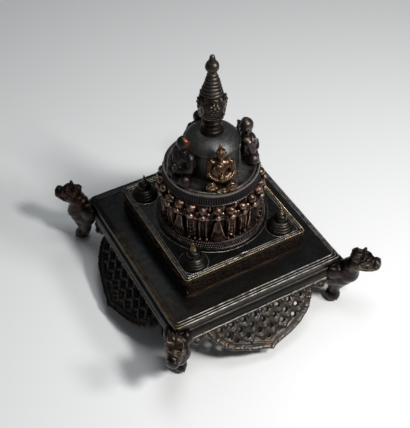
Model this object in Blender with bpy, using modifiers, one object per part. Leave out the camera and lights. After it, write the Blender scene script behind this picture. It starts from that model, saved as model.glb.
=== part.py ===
"""A small cast bronze votive stupa on a square plinth with pierced aprons and beast feet.

The object stands on z = 0 and is centred on the z axis. The front faces -Y.
"""
import math

import bmesh
import bpy
from mathutils import Matrix, Vector

MM = 0.001
GAP = 0.3 * MM              # clearance between two pieces that touch

# Heights above the floor
PLINTH_BOTTOM = 27.8 * MM
LEDGE_TOP = 33.0 * MM
DECK_BOTTOM = 37.5 * MM
DECK_TOP = 41.5 * MM
CORNICE_BOTTOM = 52.6 * MM
PLATFORM_TOP = 55.7 * MM
BASE_RING_TOP = 59.7 * MM
FRIEZE_TOP = 85.4 * MM
FLUTED_TOP = 91.0 * MM
TERRACE_TOP = 93.2 * MM
DOME_SHOULDER = 110.3 * MM
DOME_TOP = 116.3 * MM
NECK_TOP = 124.0 * MM
HARMIKA_TOP = 140.5 * MM
SPIRE_TOP = 152.6 * MM
VASE_TOP = 161.4 * MM
TIP_TOP = 163.6 * MM

# Half widths and radii
PLINTH_X = 53.4 * MM
PLINTH_Y = 56.6 * MM
PLINTH_CORNER = 2.5 * MM
WALL = 3.0 * MM
BAND_INSET = 0.8 * MM
LEDGE_OUTSET = 0.4 * MM
PLATFORM_X = 38.2 * MM
PLATFORM_Y = 40.5 * MM
PLATFORM_CORNER = 1.8 * MM
RIM_HEIGHT = 0.7 * MM
SUNK = 0.5 * MM             # how far a floor lies below the rim round it
BASE_RING = 31.4 * MM
FRIEZE_INNER = 24.5 * MM
FRIEZE_OUTER = 26.2 * MM
FLUTED = 26.4 * MM
TERRACE = 27.3 * MM
DOME_WALL = 14.9 * MM
DOME_WIDEST = 15.6 * MM
NECK = 4.6 * MM
COLLAR = 6.3 * MM
HARMIKA = 5.7 * MM
PLAQUE = 4.4 * MM
SPIRE_FOOT = 5.5 * MM
SPIRE_HEAD = 2.6 * MM
SPIRE_RINGS = 9
VASE = 3.6 * MM
TIP = 1.3 * MM

# Corner stupas on the upper platform
MINI_X = 27.9 * MM
MINI_Y = 30.0 * MM
MINI_RADIUS = 7.6 * MM
MINI_HEIGHT = 15.2 * MM

# Standing figures on the drum's wall
FIGURES_PER_SIDE = 5
FIGURE_PITCH = math.radians(90.0 / FIGURES_PER_SIDE)
FIGURE_RADIUS = 26.9 * MM

# Pierced aprons, which slope outward from the foot of the plinth
APRON_SLOPE = math.radians(47.3)
APRON_THICK = 2.0 * MM
APRON_INSET = 1.2 * MM
APRON_HALF = 34.5 * MM
APRON_DEPTH = 23.5 * MM
APRON_CUSP = 3.3 * MM
APRON_ROOT = 4.0 * MM
BRACKET_AT = 40.6 * MM
BRACKET_HALF = 4.4 * MM
BRACKET_DEPTH = 5.2 * MM
STRIP_DEPTH = 2.4 * MM
HOLE = 1.4 * MM
HOLE_PITCH = 6.6 * MM
HOLE_ROWS = 4
HOLE_MARGIN = 4.2 * MM

SIDES = {"front": 0.0, "right": 90.0, "back": 180.0, "left": 270.0}
CORNERS = {
    "front_right": (1, -1),
    "back_right": (1, 1),
    "back_left": (-1, 1),
    "front_left": (-1, -1),
}

DARK = (0.045, 0.047, 0.048)
RELIEF = (0.085, 0.055, 0.042)
WORN = (0.20, 0.13, 0.075)


def clear_scene():
    """Remove what the scene holds, and make the collections of parts and cutters."""
    for old in list(bpy.data.objects):
        bpy.data.objects.remove(old, do_unlink=True)
    groups = []
    for name in ("stupa", "cutters"):
        group = bpy.data.collections.new(name)
        bpy.context.scene.collection.children.link(group)
        groups.append(group)
    groups[1].hide_render = True
    return groups


PARTS, CUTTERS = clear_scene()


def bronze(name, colour):
    """Give one piece its own bronze."""
    material = bpy.data.materials.new(name)
    material.use_nodes = True
    shader = material.node_tree.nodes["Principled BSDF"]
    shader.inputs["Base Color"].default_value = (*colour, 1.0)
    shader.inputs["Metallic"].default_value = 0.8
    shader.inputs["Roughness"].default_value = 0.42
    return material


def add_part(name, bm, colour=DARK):
    """Turn a finished bmesh into a named piece of the stupa."""
    mesh = bpy.data.meshes.new(name)
    bm.to_mesh(mesh)
    bm.free()
    obj = bpy.data.objects.new(name, mesh)
    PARTS.objects.link(obj)
    mesh.materials.append(bronze(name, colour))
    return obj


def add_tool(bm):
    """Turn a bmesh into a tool that is joined to a piece or cut from it."""
    mesh = bpy.data.meshes.new("tool")
    bm.to_mesh(mesh)
    bm.free()
    obj = bpy.data.objects.new("tool", mesh)
    obj.display_type = "WIRE"
    CUTTERS.objects.link(obj)
    return obj


def shade_round(obj):
    """Shade a round piece smooth and keep its hard edges."""
    obj.data.shade_smooth()
    obj.data.set_sharp_from_angle(angle=math.radians(40.0))


def combine(piece, tools, operation):
    """Join tools to a piece, or cut them from it, and remove the tools."""
    for tool in tools:
        boolean = piece.modifiers.new("Combine", "BOOLEAN")
        boolean.operation = operation
        boolean.solver = "EXACT"
        boolean.object = tool
    graph = bpy.context.evaluated_depsgraph_get()
    finished = bpy.data.meshes.new_from_object(piece.evaluated_get(graph))
    piece.modifiers.clear()
    piece.data = finished
    for tool in tools:
        bpy.data.objects.remove(tool, do_unlink=True)


def repeat(piece, placements):
    """Copy a piece to each (name, location, turn about z), using it as the first."""
    colour = piece.data.materials[0].node_tree.nodes["Principled BSDF"].inputs["Base Color"]
    tone = tuple(colour.default_value)[:3]
    shape = piece.data
    bpy.data.objects.remove(piece, do_unlink=True)
    for name, location, turn in placements:
        mesh = shape.copy()
        mesh.name = name
        mesh.materials.clear()
        mesh.materials.append(bronze(name, tone))
        copy = bpy.data.objects.new(name, mesh)
        copy.location = location
        copy.rotation_euler.z = math.radians(turn)
        PARTS.objects.link(copy)


def around_sides(name, outward=0.0, height=0.0, outward_x=None):
    """Place one copy on each side, its local -Y facing outward."""
    across = outward if outward_x is None else outward_x
    placements = []
    for side, turn in SIDES.items():
        reach = across if side in ("left", "right") else outward
        facing = Matrix.Rotation(math.radians(turn), 3, "Z") @ Vector((0.0, -reach, 0.0))
        facing.z = height
        placements.append((f"{name}_{side}", facing, turn))
    return placements


def turned(name, profile, steps=48, colour=DARK):
    """Turn (radius, height) points, listed from the axis down the outer side, about z."""
    bm = bmesh.new()
    points = [bm.verts.new((radius, 0.0, height)) for radius, height in profile]
    for upper, lower in zip(points, points[1:]):
        bm.edges.new((upper, lower))
    obj = add_part(name, bm, colour)
    shade_round(obj)
    screw = obj.modifiers.new("Turn", "SCREW")
    screw.steps = steps
    screw.render_steps = steps
    screw.use_merge_vertices = True
    screw.merge_threshold = 0.00002
    return obj


def rounded_rectangle(half_x, half_y, radius, steps=3):
    """List the points of a rectangle with round corners, anticlockwise."""
    points = []
    for corner, (sign_x, sign_y) in enumerate(((1, 1), (-1, 1), (-1, -1), (1, -1))):
        for step in range(steps + 1):
            angle = math.radians(90.0 * corner + 90.0 * step / steps)
            x = sign_x * (half_x - radius) + radius * math.cos(angle)
            y = sign_y * (half_y - radius) + radius * math.sin(angle)
            points.append((x, y))
    return points


def stepped_block(name, half_x, half_y, corner, levels, colour=DARK):
    """Loft a round-cornered rectangle through (outset, height) levels, underside first."""
    bm = bmesh.new()
    loops = []
    for outset, height in levels:
        radius = max(corner + outset, 0.4 * MM)
        outline = rounded_rectangle(half_x + outset, half_y + outset, radius)
        loops.append([bm.verts.new((x, y, height)) for x, y in outline])
    for lower, upper in zip(loops, loops[1:]):
        for i in range(len(lower)):
            bm.faces.new((lower[i - 1], lower[i], upper[i], upper[i - 1]))
    bm.faces.new(reversed(loops[0]))
    bm.faces.new(loops[-1])
    return add_part(name, bm, colour)


def moulding(name, section, half_length, colour):
    """Run a section of (outset, height) points along x, with mitred ends."""
    bm = bmesh.new()
    near_end = [bm.verts.new((half_length + out, -out, height)) for out, height in section]
    face = bm.faces.new(near_end)
    made = bmesh.ops.extrude_face_region(bm, geom=[face])["geom"]
    for item in made:
        if isinstance(item, bmesh.types.BMVert):
            item.co.x = -item.co.x
    bmesh.ops.recalc_face_normals(bm, faces=bm.faces)
    return add_part(name, bm, colour)


def ball(centre, radii, segments=8, rings=6):
    """Make an ellipsoid tool."""
    place = Matrix.Translation(Vector(centre) * MM)
    place = place @ Matrix.Diagonal((radii[0] * MM, radii[1] * MM, radii[2] * MM, 1.0))
    bm = bmesh.new()
    bmesh.ops.create_uvsphere(bm, u_segments=segments, v_segments=rings, radius=1.0, matrix=place)
    return add_tool(bm)


def limb(start, end, radius_start, radius_end, segments=7):
    """Make a tapered round tool between two points."""
    start = Vector(start) * MM
    end = Vector(end) * MM
    along = end - start
    place = Matrix.Translation((start + end) / 2) @ along.to_track_quat("Z", "Y").to_matrix().to_4x4()
    bm = bmesh.new()
    bmesh.ops.create_cone(bm, cap_ends=True, segments=segments, radius1=radius_start * MM,
                          radius2=radius_end * MM, depth=along.length, matrix=place)
    return add_tool(bm)


def box(low, high):
    """Make a box tool from its low to its high corner."""
    low = Vector(low) * MM
    high = Vector(high) * MM
    place = Matrix.Translation((low + high) / 2) @ Matrix.Diagonal((*(high - low), 1.0))
    bm = bmesh.new()
    bmesh.ops.create_cube(bm, size=1.0, matrix=place)
    return add_tool(bm)


def plinth():
    """Build the deck with its double rim, and the four moulded sides under it."""
    stepped_block("plinth_deck", PLINTH_X, PLINTH_Y, PLINTH_CORNER, [
        (-0.5 * MM, DECK_BOTTOM),
        (0.0, DECK_BOTTOM + 0.8 * MM),
        (0.0, DECK_TOP),
        (-1.2 * MM, DECK_TOP),
        (-1.6 * MM, DECK_TOP - RIM_HEIGHT),
        (-4.0 * MM, DECK_TOP - RIM_HEIGHT),
        (-4.4 * MM, DECK_TOP),
        (-5.4 * MM, DECK_TOP),
        (-5.8 * MM, DECK_TOP - RIM_HEIGHT),
    ])
    top = DECK_BOTTOM - GAP
    section = [
        (-BAND_INSET - WALL, PLINTH_BOTTOM),
        (LEDGE_OUTSET, PLINTH_BOTTOM),
        (LEDGE_OUTSET, LEDGE_TOP - 1.0 * MM),
        (-BAND_INSET, LEDGE_TOP),
        (-BAND_INSET, top),
        (-BAND_INSET - WALL, top),
    ]
    for side, turn in SIDES.items():
        run, reach = (PLINTH_Y, PLINTH_X) if side in ("left", "right") else (PLINTH_X, PLINTH_Y)
        wall = moulding(f"plinth_side_{side}", section, run - GAP, RELIEF)
        wall.rotation_euler.z = math.radians(turn)
        wall.location = Matrix.Rotation(math.radians(turn), 3, "Z") @ Vector((0.0, -reach, 0.0))


def upper_platform():
    """Build the frieze block and the rimmed cornice on it."""
    foot = DECK_TOP - RIM_HEIGHT + GAP
    stepped_block("upper_platform", PLATFORM_X, PLATFORM_Y, PLATFORM_CORNER, [
        (0.3 * MM, foot),
        (0.3 * MM, foot + 1.0 * MM),
        (-1.0 * MM, foot + 1.6 * MM),
        (-1.0 * MM, CORNICE_BOTTOM - GAP),
    ], RELIEF)
    stepped_block("platform_cornice", PLATFORM_X, PLATFORM_Y, PLATFORM_CORNER, [
        (-1.0 * MM, CORNICE_BOTTOM),
        (0.0, CORNICE_BOTTOM + 1.0 * MM),
        (0.0, PLATFORM_TOP),
        (-0.8 * MM, PLATFORM_TOP),
        (-1.0 * MM, PLATFORM_TOP - 0.3 * MM),
        (-1.4 * MM, PLATFORM_TOP - 0.3 * MM),
        (-1.6 * MM, PLATFORM_TOP),
        (-2.2 * MM, PLATFORM_TOP),
        (-2.5 * MM, PLATFORM_TOP - SUNK),
    ], WORN)


def corner_stupas():
    """Build the four small stupas at the platform's corners."""
    foot = MINI_RADIUS
    rise = MINI_HEIGHT
    mini = turned("corner_stupa", [
        (0.0, rise),
        (0.07 * foot, 0.93 * rise),
        (0.14 * foot, 0.80 * rise),
        (0.28 * foot, 0.70 * rise),
        (0.47 * foot, 0.58 * rise),
        (0.54 * foot, 0.36 * rise),
        (0.72 * foot, 0.34 * rise),
        (0.72 * foot, 0.25 * rise),
        (0.86 * foot, 0.24 * rise),
        (0.86 * foot, 0.13 * rise),
        (foot, 0.12 * rise),
        (foot, 0.0),
        (0.0, 0.0),
    ], steps=18)
    graph = bpy.context.evaluated_depsgraph_get()
    mini.data = bpy.data.meshes.new_from_object(mini.evaluated_get(graph))
    mini.modifiers.clear()
    seat = PLATFORM_TOP - SUNK + GAP
    repeat(mini, [
        (f"corner_stupa_{corner}", (east * MINI_X, north * MINI_Y, seat), 0.0)
        for corner, (east, north) in CORNERS.items()
    ])


def wall_segment(inner, outer, bottom, top, sweep):
    """Make a curved wall that is centred on -Y and spans the given angle."""
    bm = bmesh.new()
    start = -math.pi / 2 - sweep / 2
    corners = [(inner, bottom), (outer, bottom), (outer, top), (inner, top)]
    outward = Vector((math.cos(start), math.sin(start), 0.0))
    section = [bm.verts.new(outward * radius + Vector((0.0, 0.0, z))) for radius, z in corners]
    outline = [bm.edges.new((section[i - 1], section[i])) for i in range(len(section))]
    bmesh.ops.spin(bm, geom=outline, cent=(0, 0, 0), axis=(0, 0, 1), angle=sweep, steps=11)
    bmesh.ops.holes_fill(bm, edges=[edge for edge in bm.edges if edge.is_boundary])
    bmesh.ops.recalc_face_normals(bm, faces=bm.faces)
    return bm


def standing_figure(angle):
    """Make the robe, shoulders and head of one standing figure as tools."""
    tools = [
        ball((FIGURE_RADIUS / MM, 0.0, 70.25), (2.3, 3.1, 10.0), segments=7, rings=5),
        ball((FIGURE_RADIUS / MM, 0.0, 76.6), (2.1, 3.4, 3.3), segments=7, rings=5),
        ball((FIGURE_RADIUS / MM + 0.6, 0.0, 81.6), (1.9, 1.8, 2.2), segments=7, rings=5),
    ]
    for tool in tools:
        tool.data.transform(Matrix.Rotation(angle, 4, "Z"))
    return tools


def drum():
    """Build the drum: base ring, core, four walls of standing figures, fluted band, terrace."""
    seat = PLATFORM_TOP - SUNK + GAP
    turned("drum_base_ring", [
        (0.0, BASE_RING_TOP),
        (BASE_RING - 1.0 * MM, BASE_RING_TOP),
        (BASE_RING, BASE_RING_TOP - 1.0 * MM),
        (BASE_RING, seat),
        (0.0, seat),
    ], colour=WORN)
    bottom = BASE_RING_TOP + GAP
    top = FRIEZE_TOP - GAP
    turned("drum_core", [
        (0.0, top),
        (FRIEZE_INNER - GAP, top),
        (FRIEZE_INNER - GAP, bottom),
        (0.0, bottom),
    ])
    sweep = math.pi / 2 - GAP / FRIEZE_INNER
    wall = add_part("figure_frieze", wall_segment(FRIEZE_INNER, FRIEZE_OUTER, bottom, top, sweep), RELIEF)
    middle = (FIGURES_PER_SIDE - 1) / 2
    for number in range(FIGURES_PER_SIDE):
        combine(wall, standing_figure(-math.pi / 2 + (number - middle) * FIGURE_PITCH), "UNION")
    shade_round(wall)
    repeat(wall, around_sides("figure_frieze"))
    turned("fluted_band", [
        (0.0, FLUTED_TOP),
        (FLUTED + 0.6 * MM, FLUTED_TOP),
        (FLUTED, FLUTED_TOP - 1.0 * MM),
        (FLUTED, FRIEZE_TOP + 1.0 * MM),
        (FLUTED + 0.6 * MM, FRIEZE_TOP),
        (0.0, FRIEZE_TOP),
    ])
    turned("terrace", [
        (0.0, TERRACE_TOP - SUNK),
        (TERRACE - 2.6 * MM, TERRACE_TOP - SUNK),
        (TERRACE - 2.2 * MM, TERRACE_TOP),
        (TERRACE - 0.4 * MM, TERRACE_TOP),
        (TERRACE, TERRACE_TOP - SUNK),
        (TERRACE, FLUTED_TOP + GAP),
        (0.0, FLUTED_TOP + GAP),
    ])


def dome():
    """Build the dome and the stepped neck on it."""
    cap = DOME_TOP - DOME_SHOULDER
    profile = [(0.0, DOME_TOP), (COLLAR, DOME_TOP)]
    for degrees in (55.0, 35.0, 17.0, 0.0):
        turn = math.radians(degrees)
        profile.append((DOME_WIDEST * math.cos(turn), DOME_SHOULDER + cap * math.sin(turn)))
    profile += [
        (DOME_WALL, DOME_SHOULDER - 3.0 * MM),
        (DOME_WALL, TERRACE_TOP - SUNK + GAP),
        (0.0, TERRACE_TOP - SUNK + GAP),
    ]
    turned("dome", profile)
    turned("dome_collar", [
        (0.0, NECK_TOP - GAP),
        (NECK + 1.2 * MM, NECK_TOP - GAP),
        (NECK + 1.2 * MM, NECK_TOP - 1.4 * MM),
        (NECK, NECK_TOP - 1.8 * MM),
        (NECK, DOME_TOP + 2.6 * MM),
        (COLLAR, DOME_TOP + 2.0 * MM),
        (COLLAR, DOME_TOP + GAP),
        (0.0, DOME_TOP + GAP),
    ], steps=24)


def seated_figures():
    """Build the four crowned figures that sit on the terrace against the dome."""
    seat = Matrix.Translation((0.0, -20.9 * MM, 94.5 * MM))
    bm = bmesh.new()
    bmesh.ops.create_cube(bm, size=1.0, matrix=seat @ Matrix.Diagonal((12.6 * MM, 6.6 * MM, 2.4 * MM, 1.0)))
    figure = add_part("seated_figure", bm, WORN)
    tools = [
        ball((-21.0, 0.0, 95.4), (4.3, 7.7, 2.7)),
        ball((-19.8, 0.0, 101.4), (3.0, 4.2, 6.6)),
        ball((-19.4, 0.0, 105.4), (2.4, 6.6, 2.1)),
        ball((-18.9, 0.0, 110.0), (2.4, 2.3, 3.1)),
        limb((-18.9, 0.0, 111.2), (-18.6, 0.0, 118.0), 2.3, 0.5),
    ]
    for side in (-1, 1):
        tools.append(limb((-19.6, side * 6.0, 105.2), (-21.6, side * 6.9, 99.4), 1.5, 1.2))
        tools.append(ball((-21.6, side * 6.9, 99.4), (1.4, 1.4, 1.4)))
        tools.append(limb((-21.6, side * 6.9, 99.4), (-23.0, side * 0.6, 99.0), 1.2, 1.2))
    for tool in tools:
        tool.data.transform(Matrix.Rotation(math.pi / 2, 4, "Z"))
    combine(figure, tools, "UNION")
    under = box((-40.0, -40.0, 80.0), (40.0, 40.0, (TERRACE_TOP + GAP) / MM))
    combine(figure, [under], "DIFFERENCE")
    shade_round(figure)
    repeat(figure, around_sides("seated_figure"))


def crown():
    """Build the square box over the dome, its plaques, the ringed spire and the finial."""
    bottom = NECK_TOP
    stepped_block("harmika", HARMIKA, HARMIKA, 1.0 * MM, [
        (-0.6 * MM, bottom),
        (1.0 * MM, bottom + 2.0 * MM),
        (1.0 * MM, bottom + 2.8 * MM),
        (0.0, bottom + 3.4 * MM),
        (0.0, HARMIKA_TOP - 3.0 * MM),
        (0.9 * MM, HARMIKA_TOP - 2.2 * MM),
        (0.9 * MM, HARMIKA_TOP - 0.8 * MM),
        (0.0, HARMIKA_TOP),
    ])
    middle = (bottom + HARMIKA_TOP) / 2
    bm = bmesh.new()
    place = Matrix.Rotation(math.pi / 2, 4, "X")
    bmesh.ops.create_cone(bm, cap_ends=True, segments=20, radius1=PLAQUE, radius2=PLAQUE * 0.7,
                          depth=1.4 * MM, matrix=place)
    plaque = add_part("harmika_plaque", bm, WORN)
    reach = HARMIKA + GAP + 0.7 * MM
    repeat(plaque, around_sides("harmika_plaque", reach, middle))

    foot = HARMIKA_TOP + GAP
    pitch = (SPIRE_TOP - foot) / SPIRE_RINGS
    spire = [(0.0, SPIRE_TOP)]
    for ring in range(SPIRE_RINGS):
        radius = SPIRE_HEAD + (SPIRE_FOOT - SPIRE_HEAD) * ring / (SPIRE_RINGS - 1)
        top = SPIRE_TOP - ring * pitch
        spire.append((radius * 0.82, top))
        spire.append((radius, top - 0.35 * pitch))
        spire.append((radius, top - 0.75 * pitch))
    spire.append((SPIRE_FOOT * 0.82, foot))
    spire.append((0.0, foot))
    turned("spire_rings", spire, steps=14)

    foot = SPIRE_TOP + GAP
    rise = VASE_TOP - foot
    turned("finial_vase", [
        (0.0, VASE_TOP),
        (0.30 * VASE, VASE_TOP),
        (0.42 * VASE, foot + 0.86 * rise),
        (0.30 * VASE, foot + 0.74 * rise),
        (0.62 * VASE, foot + 0.62 * rise),
        (VASE, foot + 0.42 * rise),
        (0.86 * VASE, foot + 0.22 * rise),
        (0.50 * VASE, foot + 0.08 * rise),
        (0.60 * VASE, foot),
        (0.0, foot),
    ], steps=18, colour=WORN)
    turned("finial_tip", [
        (0.0, TIP_TOP),
        (0.6 * TIP, TIP_TOP - 0.5 * MM),
        (TIP, TIP_TOP - 1.2 * MM),
        (0.6 * TIP, VASE_TOP + GAP),
        (0.0, VASE_TOP + GAP),
    ], steps=14, colour=WORN)


def apron_depth(x):
    """Give how far the apron's outline lies below its root at x."""
    depth = STRIP_DEPTH
    if abs(x) < APRON_HALF:
        arch = APRON_DEPTH * math.sqrt(1.0 - (x / APRON_HALF) ** 2)
        depth = max(depth, arch + APRON_CUSP * math.exp(-abs(x) / (5.0 * MM)))
    beside = (abs(x) - BRACKET_AT) / BRACKET_HALF
    if abs(beside) < 1.0:
        depth = max(depth, BRACKET_DEPTH * math.sqrt(1.0 - beside ** 2))
    return depth


def aprons():
    """Build the four pierced aprons that hang under the plinth and slope outward."""
    end = BRACKET_AT + BRACKET_HALF
    stations = [0.0, 3.0, 8.0, 14.0, 20.0, 25.0, 29.0, 32.0, 34.0, 35.0, 37.5, 39.0, 41.0, 43.0, 44.4]
    half = [(station * MM, apron_depth(station * MM)) for station in stations]
    half.append((end, STRIP_DEPTH))
    outline = [(-x, depth) for x, depth in reversed(half[1:])] + half
    bm = bmesh.new()
    low = -APRON_THICK
    points = [(-end, -APRON_ROOT)] + outline + [(end, -APRON_ROOT)]
    face = bm.faces.new([bm.verts.new((x, -depth, low)) for x, depth in points])
    made = bmesh.ops.extrude_face_region(bm, geom=[face])["geom"]
    raised = [item for item in made if isinstance(item, bmesh.types.BMVert)]
    bmesh.ops.translate(bm, verts=raised, vec=(0.0, 0.0, APRON_THICK))
    bmesh.ops.recalc_face_normals(bm, faces=bm.faces)
    apron = add_part("apron", bm, WORN)
    holes = []
    for row in range(HOLE_ROWS):
        down = 3.6 * MM + row * HOLE_PITCH * math.sqrt(3.0) / 2
        shift = HOLE_PITCH / 2 if row % 2 else 0.0
        for column in range(-6, 7):
            x = column * HOLE_PITCH + shift
            if abs(x) < APRON_HALF and down < apron_depth(x) - HOLE_MARGIN:
                holes.append((x, -down))
    bm = bmesh.new()
    for x, y in holes:
        bmesh.ops.create_cone(bm, cap_ends=True, segments=6, radius1=HOLE, radius2=HOLE,
                              depth=4 * APRON_THICK, matrix=Matrix.Translation((x, y, 0.0)))
    combine(apron, [add_tool(bm)], "DIFFERENCE")
    apron.data.transform(Matrix.Rotation(APRON_SLOPE, 4, "X"))
    combine(apron, [box((-60.0, -40.0, 0.0), (60.0, 40.0, 20.0))], "DIFFERENCE")
    seat = PLINTH_BOTTOM - GAP
    repeat(apron, around_sides("apron", PLINTH_Y - APRON_INSET, seat, PLINTH_X - APRON_INSET))


def corner_beasts():
    """Build the four beasts whose single thick legs are the feet of the object."""
    bm = bmesh.new()
    place = Matrix.Translation((3.5 * MM, 0.0, 29.5 * MM)) @ Matrix.Diagonal((8.0 * MM, 6.4 * MM, 12.0 * MM, 1.0))
    bmesh.ops.create_uvsphere(bm, u_segments=12, v_segments=8, radius=1.0, matrix=place)
    beast = add_part("corner_beast", bm, RELIEF)
    tools = [
        ball((10.6, 0.0, 41.0), (8.6, 6.8, 7.6), segments=12, rings=8),
        ball((16.9, 0.0, 40.6), (5.2, 5.0, 4.8), segments=10, rings=7),
        ball((20.9, 0.0, 42.2), (2.2, 2.6, 2.0)),
        ball((13.4, 0.0, 35.4), (5.4, 4.6, 3.0)),
        limb((4.0, 0.0, 26.0), (-0.4, 0.0, 5.0), 4.4, 3.1, segments=12),
        ball((-0.6, 0.0, 4.3), (5.2, 4.8, 4.7), segments=12, rings=8),
    ]
    for side in (-1, 1):
        tools.append(limb((11.0, side * 4.2, 45.0), (11.6, side * 5.6, 51.4), 2.0, 0.6))
    combine(beast, tools, "UNION")
    corner = (LEDGE_OUTSET + GAP) / MM
    under_deck = (PLINTH_BOTTOM - GAP) / MM
    plinth_room = box((-60.0, -60.0, under_deck), (corner, corner, 70.0))
    plinth_room.data.transform(Matrix.Rotation(math.radians(-45.0), 4, "Z"))
    floor = box((-40.0, -40.0, -20.0), (40.0, 40.0, 0.0))
    combine(beast, [plinth_room, floor], "DIFFERENCE")
    shade_round(beast)
    repeat(beast, [
        (f"corner_beast_{corner}", (east * PLINTH_X, north * PLINTH_Y, 0.0),
         math.degrees(math.atan2(north, east)))
        for corner, (east, north) in CORNERS.items()
    ])


plinth()
upper_platform()
corner_stupas()
drum()
dome()
seated_figures()
crown()
aprons()
corner_beasts()
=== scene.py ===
"""Looks of a small cast bronze votive stupa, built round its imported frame."""
import random
from math import atan2, cos, degrees, exp, pi, radians, sin, sqrt

import bmesh
import bpy
import numpy as np
from mathutils import Matrix, Vector, noise


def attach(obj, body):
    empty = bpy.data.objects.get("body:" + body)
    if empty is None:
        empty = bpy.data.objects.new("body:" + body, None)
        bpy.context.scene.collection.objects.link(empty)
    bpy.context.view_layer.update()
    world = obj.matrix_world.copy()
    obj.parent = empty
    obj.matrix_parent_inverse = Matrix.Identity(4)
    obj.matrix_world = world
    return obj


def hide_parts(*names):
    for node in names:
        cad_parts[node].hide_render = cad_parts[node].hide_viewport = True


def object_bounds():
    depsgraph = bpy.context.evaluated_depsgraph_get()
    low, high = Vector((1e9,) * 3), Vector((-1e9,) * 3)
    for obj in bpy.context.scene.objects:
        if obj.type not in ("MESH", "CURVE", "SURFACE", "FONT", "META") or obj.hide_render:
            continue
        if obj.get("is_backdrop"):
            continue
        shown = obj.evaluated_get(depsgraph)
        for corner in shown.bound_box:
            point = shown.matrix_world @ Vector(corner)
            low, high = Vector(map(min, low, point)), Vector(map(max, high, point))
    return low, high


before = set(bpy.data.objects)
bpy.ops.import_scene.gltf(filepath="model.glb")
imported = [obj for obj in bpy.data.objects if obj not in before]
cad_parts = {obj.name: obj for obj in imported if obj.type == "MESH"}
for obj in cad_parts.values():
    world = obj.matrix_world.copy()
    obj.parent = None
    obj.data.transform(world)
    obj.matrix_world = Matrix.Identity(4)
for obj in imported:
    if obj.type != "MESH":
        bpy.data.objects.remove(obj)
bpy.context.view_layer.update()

# The stand for the stupa: a sheet of white paper, two small lamps at the front right that throw
# the long shadows to the left and back, a wide soft box overhead, and a weak one behind whose
# sheen lies on the level tops, in a dim room.
bpy.context.scene.view_settings.view_transform = "Standard"


def stand(name, data):
    """Stand a mesh, a light or a camera in the scene."""
    thing = bpy.data.objects.new(name, data)
    bpy.context.scene.collection.objects.link(thing)
    return thing


def mesh_of(bm, name):
    """Make a mesh of a shape."""
    mesh = bpy.data.meshes.new(name)
    bm.to_mesh(mesh)
    return mesh


paper = bpy.data.materials.new("white_paper")
paper.use_nodes = True
surface = paper.node_tree.nodes["Principled BSDF"].inputs
surface["Base Color"].default_value = (0.86, 0.865, 0.87, 1)
surface["Roughness"].default_value = 0.85
sheet = bmesh.new()
bmesh.ops.create_grid(sheet, x_segments=1, y_segments=1, size=3.0)
floor = stand("paper_floor", mesh_of(sheet, "paper_floor"))
sheet.free()
floor.data.materials.append(paper)
floor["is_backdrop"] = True

room = bpy.data.worlds.new("pale_room")
room.use_nodes = True
glow = room.node_tree.nodes["Background"].inputs
glow["Color"].default_value = (0.93, 0.97, 1.0, 1)
glow["Strength"].default_value = 0.10
bpy.context.scene.world = room


def soft_box(name, place, size, watts, colour):
    """Hang a square soft light that points at the middle of the stupa."""
    light = bpy.data.lights.new(name, "AREA")
    light.shape = "SQUARE"
    light.size = size
    light.energy = watts
    light.color = colour
    holder = stand(name, light)
    holder.location = place
    holder.rotation_euler = (Vector((0, 0, 0.06)) - Vector(place)).to_track_quat("-Z", "Y").to_euler()


soft_box("key_box", (0.104, -0.316, 0.462), 0.07, 1.78, (1.0, 0.985, 0.96))
soft_box("side_box", (0.315, -0.400, 0.470), 0.11, 1.60, (1.0, 0.985, 0.97))
soft_box("top_box", (0.035, -0.045, 0.620), 0.22, 0.80, (0.95, 0.98, 1.0))
soft_box("back_box", (0.085, 0.215, 0.450), 0.13, 0.16, (0.90, 0.96, 1.0))

lens = bpy.data.cameras.new("camera")
lens.lens = 69.43
lens.sensor_width = 36.0
lens.clip_start = 0.01
camera = stand("camera", lens)
camera.location = (-0.16418, -0.28870, 0.39991)
camera.rotation_euler = (radians(90.0 - 46.369), 0.0, radians(-29.013))
bpy.context.scene.camera = camera

# The plinth's deck: a cast plate with a rounded rim, a groove, and an inner fillet that was laid
# on in wax. Its dark patina is blue-grey, rubbed bright on the ridges and golden at the left edge.
# The ridges are dimmed toward the back and the left, and the left edge's body is darker: both
# are painted shade. Sizes are in millimetres, and a finished piece is brought to metres by cast().
PATINA_DEPTH = 0.30
METAL = 0.85
DECK_X = 53.4
DECK_Y = 56.6
DECK_LOW = 37.5
DECK_TOP = 41.5
DECK_CORNER = 2.5
DECK_CELL = 3.6
EDGE = 0.28
GOLD_AND_SHADE_EDGE = -48.0
# Each ridge's distances in from the rim, its radius, and its rise over the deck's top.
DECK_RIDGES = ((0.42, 0.42, 0.42, -0.42), (1.3, 2.0, 0.30, -0.52), (2.5, 3.7, 0.42, -0.50))
WAX_SEED = 7
noise.seed_set(WAX_SEED)


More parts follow.
